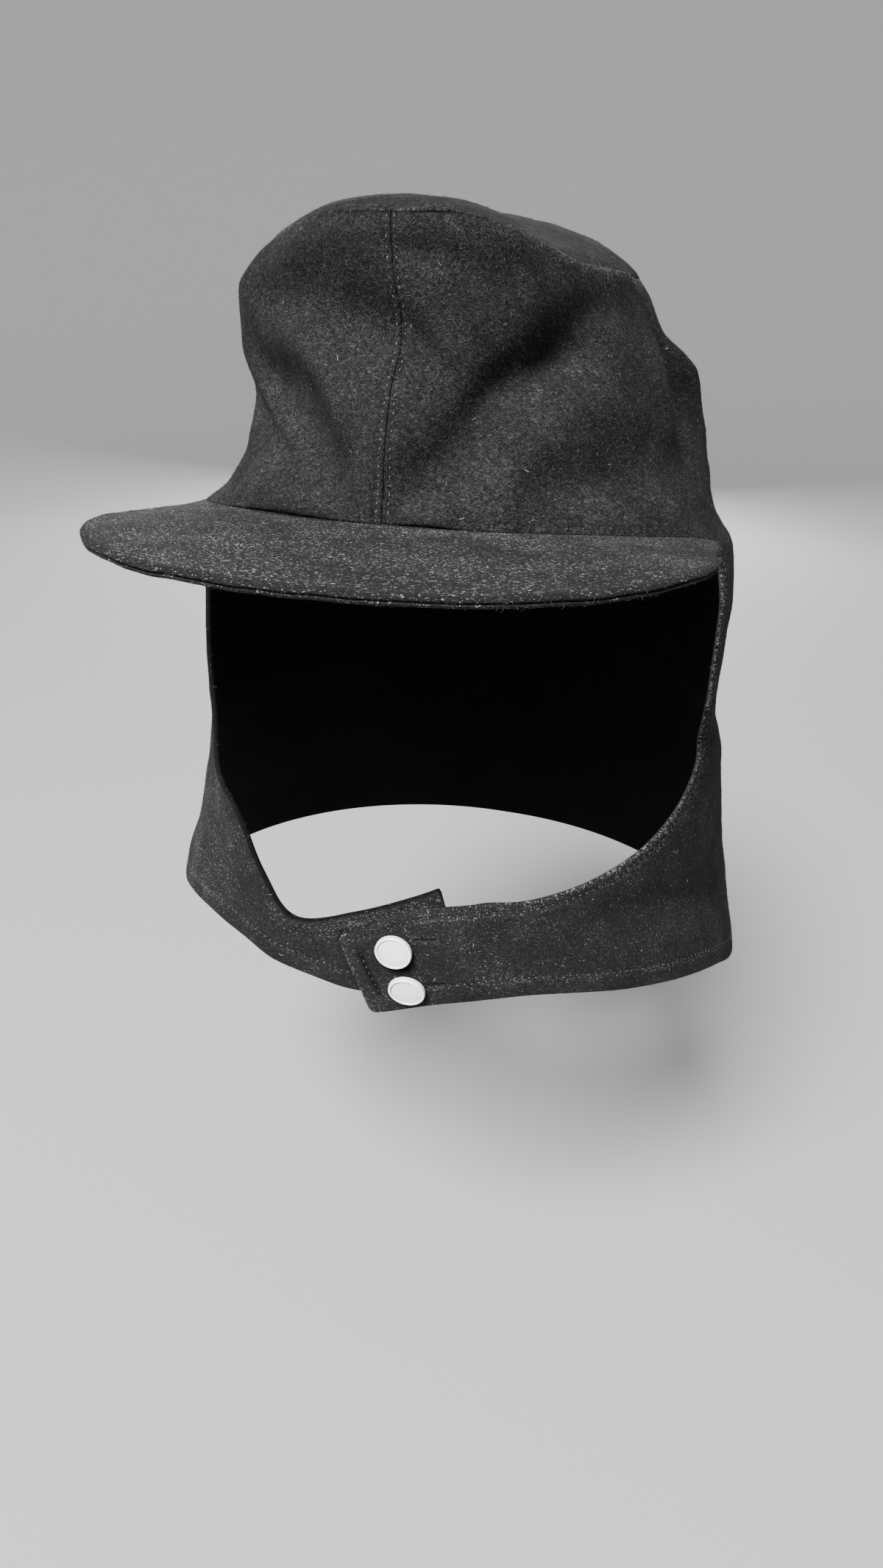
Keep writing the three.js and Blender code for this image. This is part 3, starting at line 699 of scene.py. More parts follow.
def crown_tip():
    turns = np.arange(-180, 180, TIP_TURN_STEP)
    rings = graded(2 * TIP_REACH, TIP_RING_STEP)
    rings = rings[rings < TIP_REACH - 1] / TIP_REACH
    turn, ring = np.meshgrid(turns, rings)
    point = tip_point(turn, 90 * ring ** TIP_RING_SPREAD)
    wrapped = np.concatenate([point[:, -1:], point, point[:, :1]], 1)
    normal = grid_normals(wrapped)[:, 1:-1]
    away = ring * TIP_REACH
    relief = TIP_SWELL * bell(away, 4.5, 3) * (1 - smooth(8, 30, np.abs(turn)))
    relief = relief - roll(away, top_roll(turn)) + top_ridge(turn, away) + ripple(point, CLOTH_RIPPLE)
    outer = point + relief[..., None] * normal
    inner = point - CROWN_WALL * normal
    out = np.arange(turn.size).reshape(turn.shape)
    into = out + out.size + 1
    out_next = np.roll(out, -1, 1)
    into_next = np.roll(into, -1, 1)
    faces = quads(out[:-1], out_next[:-1], out_next[1:], out[1:]).tolist()
    faces += quads(into[:-1], into[1:], into_next[1:], into_next[:-1]).tolist()
    faces += quads(out[0], into[0], into_next[0], out_next[0]).tolist()
    pole = out.size
    faces += [[int(a), int(b), pole] for a, b in zip(out[-1], out_next[-1])]
    faces += [[int(b), int(a), 2 * pole + 1] for a, b in zip(into[-1], into_next[-1])]
    middle = np.array([[TIP_MIDDLE[0], TIP_MIDDLE[1], TIP_MIDDLE[2] - PRESSED_LAP]])
    below = middle - [[0, 0, CROWN_WALL]]
    points = np.concatenate([outer.reshape(-1, 3), middle, inner.reshape(-1, 3), below])
    outside = np.repeat([1, 0], pole + 1)
    far_from_band = 99
    # Lint, with painted shade in the groove of the top seam and a painted highlight on the shoulders' crest
    lint = np.concatenate([crown_lint_and_shade(turn, far_from_band, away).ravel(), np.zeros(pole + 2)])
    return cloth_object("crown_tip_panel", points, faces, points[:, :2], outside, lint, crown_wool)


crown_lid = crown_tip()
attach(crown_lid, "root")
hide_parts("crown_tip")


# Peak
# A cloth peak: two layers of wool over a thin stiffener, sewn into the band seam. The upper layer rolls
# over the outer edge, and the seam that joins it to the lower one runs just under that roll.
PEAK_WALL = 3.5
PEAK_MIDDLE_Y = -60
PEAK_LEAST_WIDTH = 0.8
PEAK_EDGE = 2.0
PEAK_DROOP = 0.3
PEAK_RIPPLE = 0.35
PEAK_SEAM_ANGLE = -12
PEAK_SEAM_HALF = 10
PEAK_SEAM_DEPTH = 0.55
PEAK_OUTLINE = {
    "angle": [0, 20, 40, 55, 70, 90, 110],
    "reach": [104, 107, 109.5, 107.5, 101.5, 94.5, 100],
    "up": [2, 2.5, 3.5, 4.5, 3.5, 0.5, -2.5],
}
PEAK_TIP = (0.0205, 0.021, 0.0205, 1)
PEAK_LINT = (0.18, 0.18, 0.177, 1)
peak_wool = wool("peak_wool", BLACK, PEAK_TIP, PEAK_LINT, 0.61, 0.01, 1.2, 0.5)


def peak():
    turn = graded(2 * PEAK_END_TURN * MM_PER_TURN, 1.1) / MM_PER_TURN - PEAK_END_TURN
    rim = crown_point(turn, np.zeros_like(turn))
    rim[:, 2] += PRESSED_LAP
    angle = np.arctan2(rim[:, 0], PEAK_MIDDLE_Y - rim[:, 1])
    degrees = np.abs(np.degrees(angle))
    way = np.stack([np.sin(angle), -np.cos(angle), 0 * angle], -1)
    reach = through(PEAK_OUTLINE, "angle", "reach", degrees)
    width = np.maximum(reach - np.hypot(rim[:, 0], PEAK_MIDDLE_Y - rim[:, 1]), PEAK_LEAST_WIDTH)
    fall = through(PEAK_OUTLINE, "angle", "up", degrees) - rim[:, 2]
    round_x = np.minimum(PEAK_EDGE, 0.45 * width)
    flat = width - round_x
    half = PEAK_WALL / 2

    def top(away):
        share = np.clip(away / width, 0, 1)
        point = rim + away[:, None] * way
        point[:, 2] += fall * ((1 - PEAK_DROOP) * share + PEAK_DROOP * share * share)
        point[:, 2] += ripple(point, PEAK_RIPPLE) * smooth(0, 8, away)
        return point

    # Rows of points, from the margin inside the crown over the top, round the edge and back underneath, with
    # the lint, the painted shade and the flat place along each
    margin = rim - CROWN_WALL * outward(turn)
    margin_width = 2.5
    rows = [margin]
    edge = [0 * turn]
    away = [0 * turn - margin_width]
    for share in graded(1, 0.03, 0.012, 1.2):
        rows.append(top(flat * share))
        # Lint near the band, less a painted shadow under the crown where it overhangs the peak
        edge.append(0.2 * np.exp(-flat * share / 6) - 0.8 * bell(flat * share, 0, 0.5 * band_roll(turn)))
        away.append(flat * share)
    for bend in np.arange(80, -91, -8):
        groove = 1 - PEAK_SEAM_DEPTH * math.exp(-((bend - PEAK_SEAM_ANGLE) / PEAK_SEAM_HALF) ** 2)
        point = top(flat) + (round_x * math.cos(math.radians(bend)) * groove)[:, None] * way
        point[:, 2] += half * (math.sin(math.radians(bend)) * (1 + groove) / 2 - 1)
        rows.append(point)
        # Painted shade on the rounded edge
        edge.append(0 * turn - 0.15)
        away.append(width + (90 - bend) * 0.03)
    underneath = 60
    for share in graded(1, 0.05, 0.03, 1.3)[::-1][1:]:
        rows.append(top(flat * share) - [0, 0, PEAK_WALL])
        edge.append(0 * turn)
        away.append(width + underneath - flat * share)
    rows.append(margin - [0, 0, PEAK_WALL])
    edge.append(0 * turn)
    away.append(width + underneath + margin_width)
    points = np.stack(rows)[::-1]
    index = np.arange(points.shape[0] * points.shape[1]).reshape(points.shape[:2])
    above = np.roll(index, -1, 0)
    faces = quads(index[:, :-1], index[:, 1:], above[:, 1:], above[:, :-1]).tolist()
    faces.append(index[::-1, 0].tolist())
    faces.append(index[:, -1].tolist())
    cloth = np.stack([np.stack([turn * MM_PER_TURN] * len(rows)), np.stack(away)[::-1]], -1).reshape(-1, 2)
    outside = np.ones(index.size)
    # Lint and painted shade along the rows
    lint = np.stack(edge)[::-1].ravel()
    return cloth_object("peak_cover", points.reshape(-1, 3), faces, cloth, outside, lint, peak_wool)


peak_cover = peak()
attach(peak_cover, "root")
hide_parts("peak")


# Neck and ear curtain
# One wide piece of doubled wool, sewn to the band line round the back and the sides. Its front edges run
# free down past the cheeks to two tabs, and the left tab laps over the right one under the chin.
CURTAIN_WALL = 3.2
CURTAIN_MM = 1.8
CURTAIN_RIPPLE = 0.5
BAND_LAP = 0.6
# The wall's edges are rounded, and pressed thinner than the rest
ROUND_EDGE = 1.0
ROUND_POWER = 2.6
PRESSED = 0.65
PRESSED_IN = 2.5
# How far the right tab is tucked in, and between which turns
TAB_TUCK = CURTAIN_WALL + 0.5
TUCK_START_TURN = -24
TUCK_END_TURN = -11
# Steps between points along the edges and in the even fill
CORNER_SOFTNESS = 1.8
FINE_STEP = 0.3
LOOP_STEP = 1.5
FILL_STEP = 2.2
# How far in from the edges the rows of stitches run
FREE_STITCH_IN = 3.0
UNDER_STITCH_IN = (3.0, 6.0)
UNDER_STITCH_TURNS = (336, 380)
HEM_STITCH_IN = 7.6
END_STITCH_IN = 6.2
# Loops of the curtain, from below its hem up to the band line
CURTAIN_LOOPS = {
    "up": [-180, -150, -125, -105, -80, -70, -55, -25, -12, 0],
    "left": [124.0, 116.5, 111.0, 108.0, 103.8, 100.8, 100.6, 101.2, 99.8, 97.0],
    "right": [125.0, 117.0, 108.5, 104.0, 100.0, 100.5, 101.5, 101.5, 99.5, 96.5],
    "front": [101.0, 100.5, 100.5, 100.5, 101.0, 101.0, 101.0, 103.0, 103.3, 103.5],
    "back": [117.0, 114.0, 112.0, 111.0, 109.0, 108.5, 108.0, 107.0, 106.0, 105.0],
}
# The free front edges, from the band line down to the end of each tab, with the hem below each place
LEFT_EDGE = {
    "along": [10, 13, 16, 18, 20, 23, 26, 28, 30],
    "turn": [75, 78.5, 80, 76.5, 68, 49, 27, 9, -8.5],
    "up": [-1, -28, -56, -69, -84, -103.5, -115, -118.8, -136],
}
LEFT_HEM = {
    "along": [0, 10, 13, 16, 18, 20, 23, 26, 28, 30],
    "turn": [180, 110, 97, 85, 75, 63, 47, 28, 12, -1.5],
    "up": [-176, -176, -174.5, -170, -164, -159.3, -155, -151.8, -156, -164.6],
}
RIGHT_EDGE = {
    "along": [10, 13, 16, 18, 20, 22, 24, 26, 28, 30],
    "turn": [-76.5, -71, -64, -60, -53, -38, -28, -17.5, -6, 10.5],
    "up": [-1.2, -30, -58, -82, -94, -103.5, -120.5, -135, -127, -113],
}
RIGHT_HEM = {
    "along": [0, 10, 13, 16, 18, 20, 22, 24, 26, 28, 30],
    "turn": [-180, -106, -89, -74, -63, -53, -42, -32, -21, -7, 16],
    "up": [-176, -172.5, -166.5, -159.5, -156, -152.3, -150.2, -151, -155.4, -159.2, -150],
}
# The ends of the tabs, from corner to corner, in turn and height
RIGHT_END = ((370.5, -112), (376, -150))
LEFT_END = ((-1.5, -164.6), (-8.5, -136))
# Soft folds of the curtain, in the same columns as those of the crown
CURTAIN_FOLDS = {
    "cheek valley": [(46, -122, -1.5, 7, 8), (60, -129, -3.5, 9, 9), (80, -141, -3.5, 9, 9)],
    "tab valley": [(19, -117, -1, 6, 6), (21, -128, -2.2, 6, 6), (22, -141, -1.5, 6, 6)],
}
# Worked buttonholes of the over-tab, from one end to the other, in turn and height
BUTTONHOLES = [((6.4, -131), (10, -130.4)), ((8.6, -148.6), (11.4, -147.8))]
CURTAIN_TIP = (0.0325, 0.033, 0.0325, 1)
CURTAIN_LINT = (0.17, 0.17, 0.167, 1)
curtain_wool = wool("curtain_wool", BLACK, CURTAIN_TIP, CURTAIN_LINT, 0.665, 0.0, 1.6, 0.35)


def flat_outline():
    """The curtain laid flat, as one closed line: from the left corner of the band line round the back to
    the right one, down the right front edge, and back along the hem. Returns points and kinds of edge."""
    corner_left = LEFT_EDGE["turn"][0]
    corner_right = RIGHT_EDGE["turn"][0] + 360
    turn = np.linspace(corner_left, corner_right, 700)
    band = through(BAND_LINE, "turn", "up", np.where(turn > 180, 360 - turn, turn)) + BAND_LAP
    lines = [("sewn", turn, band)]

    def follow(kind, table, start, end, count, around=0):
        along = np.linspace(start, end, count)
        round_head = through(table, "along", "turn", along) + around
        lines.append((kind, round_head, through(table, "along", "up", along)))

    def cross(kind, ends):
        share = np.linspace(0, 1, 80)
        lines.append((kind, *(mix(start, end, share) for start, end in zip(*ends))))

    follow("right", RIGHT_EDGE, 10, 30, 700, 360)
    cross("right end", RIGHT_END)
    follow("hem", RIGHT_HEM, 30, 0, 1000, 360)
    follow("hem", LEFT_HEM, 0, 30, 1000)
    cross("left end", LEFT_END)
    follow("left", LEFT_EDGE, 30, 10, 700)
    points = np.concatenate([np.stack([turn * CURTAIN_MM, up], -1)[:-1] for _, turn, up in lines])
    kinds = np.concatenate([[kind] * (len(turn) - 1) for kind, turn, _ in lines])
    return points, kinds


def even_loop(points, kinds, step, soften):
    """A closed line cut into equal steps, after its corners are rounded."""
    closed = np.concatenate([points, points[:1]])
    length = np.concatenate([[0], np.cumsum(np.linalg.norm(np.diff(closed, axis=0), axis=1))])
    at = np.linspace(0, length[-1], round(length[-1] / step), endpoint=False)
    even = np.stack([np.interp(at, length, closed[:, i]) for i in (0, 1)], -1)
    kind = kinds[np.clip(np.searchsorted(length, at, side="right") - 1, 0, len(kinds) - 1)]
    reach = round(soften / step)
    for _ in range(2 if reach else 0):
        even = sum(np.roll(even, shift, 0) for shift in range(-reach, reach + 1)) / (2 * reach + 1)
    return even, kind


def inward_normals(loop):
    """Directions into a closed clockwise line."""
    way = np.roll(loop, -1, 0) - np.roll(loop, 1, 0)
    way /= np.linalg.norm(way, axis=1, keepdims=True)
    return np.stack([way[:, 1], -way[:, 0]], -1)


def distance_to(points, line):
    """Distance from each point to the nearest of many points along a line."""
    tree = KDTree(len(line))
    for i, place in enumerate(line):
        tree.insert((place[0], place[1], 0), i)
    tree.balance()
    return np.array([tree.find((place[0], place[1], 0))[2] for place in points])


outline, outline_kinds = flat_outline()
fine_outline, fine_kinds = even_loop(outline, outline_kinds, FINE_STEP, CORNER_SOFTNESS)
outline_loop, _ = even_loop(fine_outline, fine_kinds, LOOP_STEP, 0)


def inset_line(distance, kinds):
    """The flat line that runs at a distance in from some kinds of edge, cut where the next edge is nearer."""
    slack, shortest = 0.08, 20
    inside = fine_outline + distance * inward_normals(fine_outline)
    keep = np.isin(fine_kinds, kinds) & (distance_to(inside, fine_outline) > distance - slack)
    parts = np.split(np.arange(len(inside)), np.flatnonzero(np.diff(keep.astype(int))) + 1)
    return [inside[part] for part in parts if keep[part[0]] and len(part) > shortest]


def clip_line(line, low, high):
    turn = line[:, 0] / CURTAIN_MM
    return line[(turn > low) & (turn < high)]


hem_lines = inset_line(HEM_STITCH_IN, ["hem"])
edge_lines = inset_line(FREE_STITCH_IN, ["left"])
end_lines = inset_line(END_STITCH_IN, ["left end"])
under_lines = [
    clip_line(line, *UNDER_STITCH_TURNS) for inset in UNDER_STITCH_IN for line in inset_line(inset, ["right"])
]
stitch_lines = [line for line in hem_lines + edge_lines + end_lines + under_lines if len(line) > 40]


def bar(ends, spacing=0.25):
    """Points along a buttonhole, in flat millimetres."""
    start, end = (np.array([turn * CURTAIN_MM, up]) for turn, up in ends)
    count = max(2, round(np.linalg.norm(end - start) / spacing))
    return start + np.linspace(0, 1, count)[:, None] * (end - start)


def curtain_place(flat):
    """The plain outer surface at flat places. The right tab is tucked in under the left one."""
    turn = flat[:, 0] / CURTAIN_MM
    up = flat[:, 1]
    tuck = TAB_TUCK * smooth(TUCK_START_TURN, TUCK_END_TURN, turn - 360)
    push = fold_depth(CURTAIN_FOLDS, turn, up) - tuck
    return oval_point(CURTAIN_LOOPS, "up", up, turn, up) + push[:, None] * outward(turn)


def curtain_surface(flat):
    """The middle of the wall and the outward normal at flat places."""
    across = curtain_place(flat + [0.5, 0]) - curtain_place(flat - [0.5, 0])
    upwards = curtain_place(flat + [0, 0.5]) - curtain_place(flat - [0, 0.5])
    normal = np.cross(across, upwards)
    normal /= np.linalg.norm(normal, axis=1, keepdims=True)
    return curtain_place(flat) - CURTAIN_WALL / 2 * normal, normal


def half_wall(edge):
    """Half the wall's thickness, pressed thinner towards its edges."""
    return CURTAIN_WALL / 2 - PRESSED * np.exp(-edge / PRESSED_IN)


def curtain_relief(flat, point, edge):
    """Height of the outer face over the plain wall: rows of stitches and buttonholes sink, and the cloth
    beside them swells."""
    height = ripple(point, CURTAIN_RIPPLE) * smooth(0, 6, edge)
    height -= 0.4 * bell(distance_to(flat, np.concatenate(stitch_lines)), 0, 0.6)
    for ends in BUTTONHOLES:
        hole = distance_to(flat, bar(ends))
        height += 0.35 * bell(hole, 1.5, 0.8) - 0.55 * bell(hole, 0, 0.5)
    return height - 0.3 * bell(distance_to(flat, np.concatenate(end_lines)), 0, 1.2)


# Distances in from the edge of the rings of points: on the rounded border, and inside it
BORDER_INSETS = [0, 0.1, 0.28, 0.52, 0.82, 1.2, 1.6, 2.1, 2.6]
INNER_INSETS = [3.0, 3.5, 4.2, 5.0, 5.6, 6.2, 6.9, 7.6, 8.3, 9.4]
FILL_START = 10.4
HOLE_CLEARANCE = 3.0
HOLE_RINGS = [0.3, 0.6, 1.0, 1.5, 2.2]
HOLE_STEP = 0.6


def inside_outline(points):
    crossings = np.zeros(len(points), int)
    for start, end in zip(outline_loop, np.roll(outline_loop, -1, 0)):
        spans = (start[1] > points[:, 1]) != (end[1] > points[:, 1])
        reach = (points[:, 1] - start[1]) / (end[1] - start[1] + 1e-12) * (end[0] - start[0]) + start[0]
        crossings += spans & (points[:, 0] < reach)
    return points[crossings % 2 == 1]


def curtain_fill(inward):
    """Flat points inside the border: lines that follow the edges, an even fill, and rings round the holes."""
    parts = []
    for inset in INNER_INSETS:
        ring = outline_loop + inset * inward
        parts.append(ring[distance_to(ring, fine_outline) > inset - 0.15])
    low, high = outline_loop.min(0), outline_loop.max(0)
    for i, up in enumerate(np.arange(low[1], high[1], FILL_STEP * math.sqrt(3) / 2)):
        x = np.arange(low[0] + (i % 2) * FILL_STEP / 2, high[0], FILL_STEP)
        row = inside_outline(np.stack([x, np.full_like(x, up)], -1))
        if len(row):
            parts.append(row[distance_to(row, fine_outline) > FILL_START])
    fill = np.concatenate(parts)
    for ends in BUTTONHOLES:
        line = bar(ends)
        fill = fill[distance_to(fill, line) > HOLE_CLEARANCE]
        way = (line[-1] - line[0]) / np.linalg.norm(line[-1] - line[0])
        aside = np.array([-way[1], way[0]])
        middle = bar(ends, HOLE_STEP)
        parts = [fill, middle]
        for out in HOLE_RINGS:
            parts += [middle + out * aside, middle - out * aside]
            for end, first in ((line[-1], -80), (line[0], 100)):
                angle = np.radians(np.arange(first, first + 161, 20))[:, None]
                parts.append(end + out * (np.cos(angle) * way + np.sin(angle) * aside))
        fill = np.concatenate(parts)
    return fill


def curtain_lint_and_shade(cloth, away):
    """Lint along the free left edge, the stitches, the upper buttonhole and the over-tab's end, and more of
    it on the wearer's right; along the over-tab's end it also stands as a painted highlight. The over-tab's
    groove, the cloth next to its end and the right edge are darkened as painted shade: shade in the groove,
    the over-tab's shadow, and the shaded thickness of the right edge."""
    turn = cloth[:, 0] / CURTAIN_MM

    def near(kind, reach):
        return distance_to(cloth, fine_outline[fine_kinds == kind]) < reach

    frayed = smooth(18, 40, turn) * near("left", 3)
    lint = 1.0 * np.exp(-away / 1.2) * frayed
    worked = bell(distance_to(cloth, bar(BUTTONHOLES[0])), 1.3, 0.7)
    rows = bell(distance_to(cloth, np.concatenate(stitch_lines)), 1.1, 0.5)
    lint = np.maximum(lint, np.maximum(0.3 * worked, 0.4 * rows))
    # Lint along the over-tab's end, which also stands as a painted highlight on that edge
    lint += 1.2 * np.exp(-away / 0.9) * near("left end", 3)
    # Painted shade in the groove of the over-tab's stitching
    lint -= 1.2 * bell(distance_to(cloth, np.concatenate(end_lines)), 0, 1.1)
    lint += 0.35 * smooth(330, 310, turn) * smooth(230, 260, turn)
    # Painted shadow that the over-tab's end casts on the under-tab
    lapped = fine_outline[fine_kinds == "left end"] + [360 * CURTAIN_MM, 0]
    lint -= 1.0 * bell(distance_to(cloth, lapped), 0.8, 1.4)
    # Painted shade on the thickness of the right edge
    return lint - 1.0 * (1 - smooth(0.4, 1.3, away)) * near("right", 2)


def curtain():
    inward = inward_normals(outline_loop)
    inward = sum(np.roll(inward, shift, 0) for shift in range(-4, 5)) / 9
    rings = [outline_loop + inset * inward for inset in BORDER_INSETS]
    count = len(outline_loop)
    centre_points = np.concatenate([rings[-1], curtain_fill(inward)])
    edges = [(i, (i + 1) % count) for i in range(count)]
    _, _, triangles, source, *_ = delaunay_2d_cdt([Vector(p) for p in centre_points], edges, [], 1, 1e-5)
    flat = np.concatenate(rings[:-1] + [centre_points])
    first = count * (len(rings) - 1)
    centre = [[first + source[i][0] for i in triangle] for triangle in triangles]
    a, b, c = (flat[centre[0][i]] for i in range(3))
    if (b[0] - a[0]) * (c[1] - a[1]) < (b[1] - a[1]) * (c[0] - a[0]):
        centre = [triangle[::-1] for triangle in centre]
    ring_index = np.arange(first + count).reshape(len(rings), count)
    following = np.roll(ring_index, -1, 1)
    border = quads(ring_index[:-1], ring_index[1:], following[1:], following[:-1]).tolist()
    edge = distance_to(flat, fine_outline)
    edge[:first] = np.repeat(BORDER_INSETS[:-1], count)
    middle, normal = curtain_surface(flat)
    turned = 1 - np.minimum(edge, ROUND_EDGE) / ROUND_EDGE
    half = half_wall(edge) * (1 - turned ** ROUND_POWER) ** (1 / ROUND_POWER)
    outer = middle + (half + curtain_relief(flat, middle, edge) * (1 - turned))[:, None] * normal
    inner = middle - half[:, None] * normal
    total = len(flat)
    inner_index = [*range(count), *range(total, 2 * total - count)]
    outside_faces = border + centre
    inside_faces = [[inner_index[i] for i in face[::-1]] for face in outside_faces]
    points = np.concatenate([outer, inner[count:]])
    cloth = np.concatenate([flat, flat[count:]])
    outside = np.repeat([1, 0], [total, total - count])
    # Lint, with painted shade and highlight along the edges
    lint = curtain_lint_and_shade(cloth, np.concatenate([edge, edge[count:]]))
    faces = outside_faces + inside_faces
    return cloth_object("curtain_cloth", points, faces, cloth, outside, lint, curtain_wool)


curtain_cloth = curtain()
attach(curtain_cloth, "root")
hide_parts("curtain")


def on_curtain(flat, lift):
    """Points on the outer face of the curtain, and the directions that they face."""
    middle, normal = curtain_surface(flat)
    edge = distance_to(flat, fine_outline)
    height = half_wall(edge) + curtain_relief(flat, middle, edge) + lift
    return middle + height[:, None] * normal, normal


curtain_lines = line_object([on_curtain(line[::3], 0.1) for line in stitch_lines])
curtain_rows = made_by_nodes(curtain_lines, stitching, THREAD, "curtain_topstitching")


# Buttons
# Two flat buttons of pale matt metal, each with a raised rim round a sunk, dotted face, and a short foot
# behind. They stand on the over-tab, one above the other and just clear of the cloth.
# The dots on the face are raised dots of darker metal, painted as the shade of pits
BUTTON_RADIUS = 6.5
BUTTON_RIM = 1.0
BUTTON_EDGE = 0.5
BUTTON_THICKNESS = 2.2
BUTTON_SINK = 0.5
BUTTON_FOOT_RADIUS = 3
BUTTON_FOOT = 0.9
BUTTON_GAP = 0.3
BUTTON_SIDES = 72
DOT_PITCH = 0.72
DOT_RINGS = 6
DOT_WIDTH = 0.00038
# How dark the metal is painted along the profile, from the middle of the back over the rim to that of the
# face: painted shade on the back, on the sides of the rim and in the groove round the face
BACK_SHADE = [0.45] * 9
RIM_SHADE = [0.25] * 4 + [0] * 6 + [0.1, 0.3, 0.45, 0.55]
FACE_SHADE = [0.75, 0.6, 0.1, 0, 0]
# Name, turn, height, and how far the face tips up, in degrees
BUTTONS = [("button_upper", 2.9, -135.2, -6), ("button_lower", 5.3, -149.3, -17)]
# The dark grey that the painted shade mixes in
METAL_SHADE_GREY = (0.3, 0.28, 0.26, 1)


def metal_material(name, low, high):
    material, tree, surface = new_material(name)
    place = add_node(tree, "ShaderNodeTexCoord").outputs["Object"]
    fine = noise(tree, place, 1500.0, 3.0).outputs[0]
    wide = noise(tree, place, 250.0, 3.0).outputs[0]
    metal_shade = add_node(tree, "ShaderNodeAttribute", attribute_name="painted_metal_shade").outputs["Fac"]
    colour = between(tree, ramp(tree, wide, 0.35, 0.65), low, high)
    bump = add_node(tree, "ShaderNodeBump", {"Height": fine, "Strength": 0.15, "Distance": 0.0001})
    # Painted shade mixes the colour towards a dark grey
    feed(tree, surface, {
        "Base Color": between(tree, metal_shade, colour, METAL_SHADE_GREY),
        "Roughness": ramp(tree, fine, 0.3, 0.7, 0.34, 0.5),
        "Normal": bump.outputs[0],
        "Metallic": 0.1,
    })
    return material


button_metal = metal_material("button_metal", (0.94, 0.93, 0.9, 1), (0.98, 0.97, 0.94, 1))
# Darker metal for the dots: painted shade of pits in the face
pit_shade_metal = metal_material("pit_shade_metal", (0.25, 0.24, 0.22, 1), (0.4, 0.38, 0.36, 1))


def dot_tree():
    takes = [
        ("Geometry", "NodeSocketGeometry"),
        ("Width", "NodeSocketFloat", 0.0005),
        ("Metal", "NodeSocketMaterial"),
    ]
    gives = [("Geometry", "NodeSocketGeometry")]
    tree, takes_in, gives_out = node_tree("raised dots", "GeometryNodeTree", takes, gives)
    dot = add_node(tree, "GeometryNodeMeshIcoSphere", {"Radius": 0.5, "Subdivisions": 1})
    sources = {"Vector": facing_attribute(tree)}
    stand = add_node(tree, "FunctionNodeAlignRotationToVector", sources, axis="Z")
    points = add_node(tree, "GeometryNodeMeshToPoints", {"Mesh": takes_in["Geometry"]})
    sown = add_node(tree, "GeometryNodeInstanceOnPoints", {
        "Points": points.outputs[0],
        "Instance": dot.outputs["Mesh"],
        "Rotation": stand.outputs[0],
        "Scale": takes_in["Width"],
    })
    return end_tree(tree, sown.outputs[0], takes_in["Metal"], gives_out)


raised_dots = dot_tree()


def arc(centre, radius, start, end, count):
    angle = np.radians(np.linspace(start, end, count))
    return [(centre[0] + radius * math.cos(a), centre[1] + radius * math.sin(a)) for a in angle]


def lathe(profile, sides):
    """Points and faces of a shape turned about the upright axis; the profile starts and ends on it."""
    around = np.radians(np.arange(sides) * 360 / sides)
    points = [[0, 0, profile[0][1]]]
    for radius, height in profile[1:-1]:
        points += [[radius * math.cos(a), radius * math.sin(a), height] for a in around]
    points.append([0, 0, profile[-1][1]])
    ring = 1 + np.arange((len(profile) - 2) * sides).reshape(-1, sides)
    following = np.roll(ring, -1, 1)
    faces = quads(ring[:-1], following[:-1], following[1:], ring[1:]).tolist()
    faces += [[0, int(b), int(a)] for a, b in zip(ring[0], following[0])]
    faces += [[int(a), int(b), len(points) - 1] for a, b in zip(ring[-1], following[-1])]
    return np.array(points, float), faces


def button_profile(top, floor):
    """Radius and height along half a button, from its foot round the rim to the middle of its sunk face."""
    crest = BUTTON_RADIUS - BUTTON_RIM / 2
    groove = BUTTON_RADIUS - BUTTON_RIM
    profile = [(0, 0), (BUTTON_FOOT_RADIUS, 0), (BUTTON_FOOT_RADIUS, BUTTON_FOOT)]
    profile += arc((BUTTON_RADIUS - BUTTON_EDGE, BUTTON_FOOT + BUTTON_EDGE), BUTTON_EDGE, -90, 0, 6)
    profile += arc((crest, top - BUTTON_RIM / 2), BUTTON_RIM / 2, 0, 160, 14)
    profile += [(groove, floor - 0.1), (groove - 0.25, floor - 0.12), (groove - 0.55, floor)]
    return profile + [(3, floor + 0.08), (0, floor + 0.12)]


def button(name, turn, up, tip):
    top = BUTTON_FOOT + BUTTON_THICKNESS
    floor = top - BUTTON_SINK
    level = outward(np.array(float(turn)))
    axis = Vector((level[0], level[1], math.tan(math.radians(tip)))).normalized()
    lift = BUTTON_FOOT_RADIUS * math.sin(math.radians(abs(tip)))
    start = curtain_place(np.array([[turn * CURTAIN_MM, up]]))[0] + (BUTTON_GAP + lift) * level
    stand = np.array(Vector((0, 0, 1)).rotation_difference(axis).to_matrix())
    points, faces = lathe(button_profile(top, floor), BUTTON_SIDES)
    mesh = bpy.data.meshes.new(name)
    mesh.from_pydata(((points @ stand.T + start) * MM).tolist(), [], faces)
    # Painted shade along the profile
    metal_shade = BACK_SHADE + RIM_SHADE + FACE_SHADE
    set_values(mesh, "painted_metal_shade", [metal_shade[0], *np.repeat(metal_shade[1:-1], BUTTON_SIDES), metal_shade[-1]])
    mesh.materials.append(button_metal)
    mesh.shade_smooth()
    mesh.set_sharp_from_angle(angle=math.radians(40))
    piece = put(name + "_disc", mesh)
    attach(piece, "root")
    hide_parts(name)
    dots = [(0, 0)]
    for ring in range(1, DOT_RINGS + 1):
        angles = np.arange(6 * ring) * math.pi / (3 * ring)
        dots += [(ring * DOT_PITCH * math.cos(a), ring * DOT_PITCH * math.sin(a)) for a in angles]
    face = np.array([[x, y, floor + 0.1 - 0.02 * math.hypot(x, y)] for x, y in dots]) @ stand.T + start
    base = line_object([(face, np.tile(np.array(axis), (len(face), 1)))])
    made_by_nodes(base, raised_dots, {"Width": DOT_WIDTH, "Metal": pit_shade_metal}, name + "_dots")
    bpy.data.objects.remove(base)


for spec in BUTTONS:
    button(*spec)


